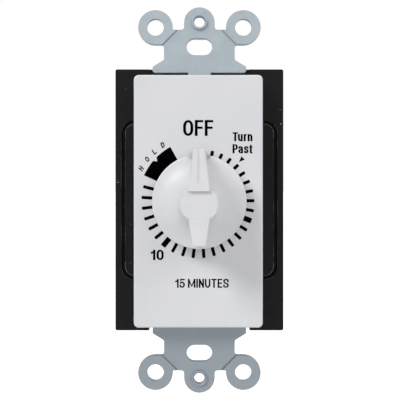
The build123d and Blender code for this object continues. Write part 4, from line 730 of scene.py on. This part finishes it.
def lettering(name, words, width, height, pen_shares, ink):
    """A word one unit thick in a box of a width and height. Its strokes are joined into one solid."""
    spans, across = [], 0
    for place, letter in enumerate(words):
        if letter == " ":
            across += word_gap
            continue
        spans.append((letter, across, letters[letter][0]))
        across += letters[letter][0] + close_pairs.get(words[place:place + 2], letter_gap)
    stretch = width / ((across - letter_gap) * height)
    pen = [share * height for share in pen_shares]
    strokes = []
    for letter, start, share in spans:
        tall = height * (low_letter_height if letter in low_letters else 1)
        wide = max(share * height * stretch, pen[0])
        for points in letters[letter][1]:
            line, closed = pen_line(points, wide, tall, pen)
            stroke = pen_stroke(line, closed, pen)
            stroke.data.transform(Matrix.Translation((start * height * stretch, 0, 0)))
            strokes.append(stroke)
    for other in strokes[1:]:
        join = strokes[0].modifiers.new("join", "BOOLEAN")
        join.operation = "UNION"
        join.solver = "EXACT"
        join.object = other
    shape = strokes[0].evaluated_get(bpy.context.evaluated_depsgraph_get())
    mesh = bpy.data.meshes.new_from_object(shape)
    for stroke in strokes:
        bpy.data.objects.remove(stroke)
    mesh.name = name
    mesh.materials.clear()
    mesh.materials.append(ink)
    piece = bpy.data.objects.new(name, mesh)
    bpy.context.scene.collection.objects.link(piece)
    return piece


def print_word(name, words, left, right, bottom, top, pen_shares, ink, slant=0, angle=0):
    """Lettering in a rectangle of the cover's face, turned about the shaft, as thick as the ink."""
    piece = lettering(name, words, (right - left) / mm, (top - bottom) / mm, pen_shares, ink)
    turn = Matrix.Rotation(radians(angle), 3, "Y")
    for vertex in piece.data.vertices:
        across, front, up = vertex.co
        depth = cover_face + ink_sink - front * (ink_height + ink_sink)
        vertex.co = turn @ Vector((left + (across + slant * up) * mm, depth, bottom + up * mm))
        vertex.co.x += print_offset
    piece.data.flip_normals()
    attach(piece, "case")


def print_lettering(ink):
    for name, (words, left, right, bottom, top, pen_shares) in scale_words.items():
        print_word(name, words, left, right, bottom, top, pen_shares, ink)
    for letter, angle in zip("HOLD", hold_letter_angles):
        print_word(
            "hold_letter_" + letter.lower(), letter, -hold_letter_width / 2, hold_letter_width / 2,
            hold_letter_reach - hold_letter_height / 2, hold_letter_reach + hold_letter_height / 2,
            hold_letter_pen, ink, hold_letter_slant, angle)


def place_camera():
    data = bpy.data.cameras.new("photo_camera")
    data.sensor_width = sensor_width
    data.lens = sensor_width * camera_distance / photo_width
    # The view's centre is moved from the camera's axis to the photo's centre
    middle = photo_pixels / 2
    pixel = photo_width / photo_pixels
    data.shift_x = ((middle - centre_pixel_x) * pixel - camera_right) / photo_width
    data.shift_y = ((centre_pixel_y - middle) * pixel - camera_up) / photo_width
    data.clip_start = 5 * mm
    camera = bpy.data.objects.new("photo_camera", data)
    camera.location = (camera_right, -camera_distance, camera_up)
    camera.rotation_euler = (pi / 2, 0, 0)
    bpy.context.scene.collection.objects.link(camera)
    bpy.context.scene.camera = camera


# Studio: a soft lamp from the upper left, a weaker one from the upper right, one behind for the back,
# a soft dome, and a pale floor below the object
floor_height = -180 * mm
floor_half_size = 6.0
floor_squares = 8
# Each lamp's direction from the object, its strength, and its spread in degrees
lamps = {
    "left_lamp": ((-1.05, -1.0, 1.1), 1.84, 22),
    "right_lamp": ((1.1, -1.0, 1.0), 0.72, 40),
    "back_lamp": ((0.3, 1.0, 0.35), 1.5, 90),
}
# The dome's brightest side, and its strength there and on the other side
dome_direction = (0.7, -0.36, 0.61)
dome_high = 0.49
dome_low = 0.125
floor_colour = "#D9D9DA"
# How much the floor glows to the camera alone
floor_lift = 0.5


def light_studio():
    for name, (direction, strength, spread) in lamps.items():
        lamp = bpy.data.lights.new(name, "SUN")
        lamp.energy = strength
        lamp.angle = radians(spread)
        holder = bpy.data.objects.new(name, lamp)
        holder.rotation_mode = "QUATERNION"
        holder.rotation_quaternion = Vector(direction).to_track_quat("Z", "Y")
        bpy.context.scene.collection.objects.link(holder)

    world = bpy.data.worlds.new("soft_dome")
    world.use_nodes = True
    bpy.context.scene.world = world
    nodes = world.node_tree.nodes
    dome = nodes["Background"]
    direction = add_node(world, "ShaderNodeTexCoord").outputs["Generated"]
    side = add_node(world, "ShaderNodeVectorMath", {
        0: direction, 1: Vector(dome_direction).normalized()}, operation="DOT_PRODUCT")
    level = add_node(world, "ShaderNodeMapRange", {
        "Value": side.outputs["Value"], "From Min": -1.0, "From Max": 1.0,
        "To Min": dome_low, "To Max": dome_high})
    link(world, level.outputs["Result"], dome.inputs["Strength"])
    white = add_node(world, "ShaderNodeBackground", {"Color": (1, 1, 1, 1), "Strength": 1.0})
    mix = add_node(world, "ShaderNodeMixShader", {
        0: seen_rays(world), 1: dome.outputs["Background"], 2: white.outputs["Background"]})
    dome.inputs["Color"].default_value = (1, 1, 1, 1)
    link(world, mix.outputs["Shader"], nodes["World Output"].inputs["Surface"])


def seen_rays(material):
    """1 for a ray from the camera, or one that reached here off a shiny surface or through a clear one."""
    path = add_node(material, "ShaderNodeLightPath")
    shiny = add_node(material, "ShaderNodeMath", {
        0: path.outputs["Is Camera Ray"], 1: path.outputs["Is Glossy Ray"]}, operation="MAXIMUM")
    clear = add_node(material, "ShaderNodeMath", {
        0: shiny.outputs["Value"], 1: path.outputs["Is Transmission Ray"]}, operation="MAXIMUM")
    return clear.outputs["Value"]


def lay_floor():
    """A pale floor. What the camera sees of it is lifted to white, less the object's shadow."""
    mesh = bpy.data.meshes.new("floor")
    build = bmesh.new()
    bmesh.ops.create_grid(build, x_segments=floor_squares, y_segments=floor_squares, size=floor_half_size)
    build.to_mesh(mesh)
    build.free()
    floor = bpy.data.objects.new("floor", mesh)
    floor.location = (0, 0, floor_height)
    bpy.context.scene.collection.objects.link(floor)
    material = bpy.data.materials.new("pale_studio_floor")
    material.use_nodes = True
    nodes = material.node_tree.nodes
    nodes.remove(nodes["Principled BSDF"])
    paint = add_node(material, "ShaderNodeBsdfDiffuse", {"Color": linear(floor_colour)})
    lifted = add_node(material, "ShaderNodeMath", {
        0: seen_rays(material), 1: floor_lift}, operation="MULTIPLY")
    glow = add_node(material, "ShaderNodeEmission", {
        "Color": (1, 1, 1, 1), "Strength": lifted.outputs["Value"]})
    both = add_node(material, "ShaderNodeAddShader", {0: paint.outputs["BSDF"], 1: glow.outputs["Emission"]})
    link(material, both.outputs["Shader"], nodes["Material Output"].inputs["Surface"])
    mesh.materials.append(material)


place_camera()
light_studio()
lay_floor()
dress_nodes()
strap_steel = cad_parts["mounting_yoke"].data.materials[0]
cut_threads(strap_steel)
tear_slot_lip(strap_steel)
bend_contact_spring()
scale_ink = pad_printed_ink()
print_minute_marks(scale_ink)
print_hold_band(scale_ink)
print_arrow(scale_ink)
print_lettering(scale_ink)

bpy.context.scene.view_settings.view_transform = "Standard"
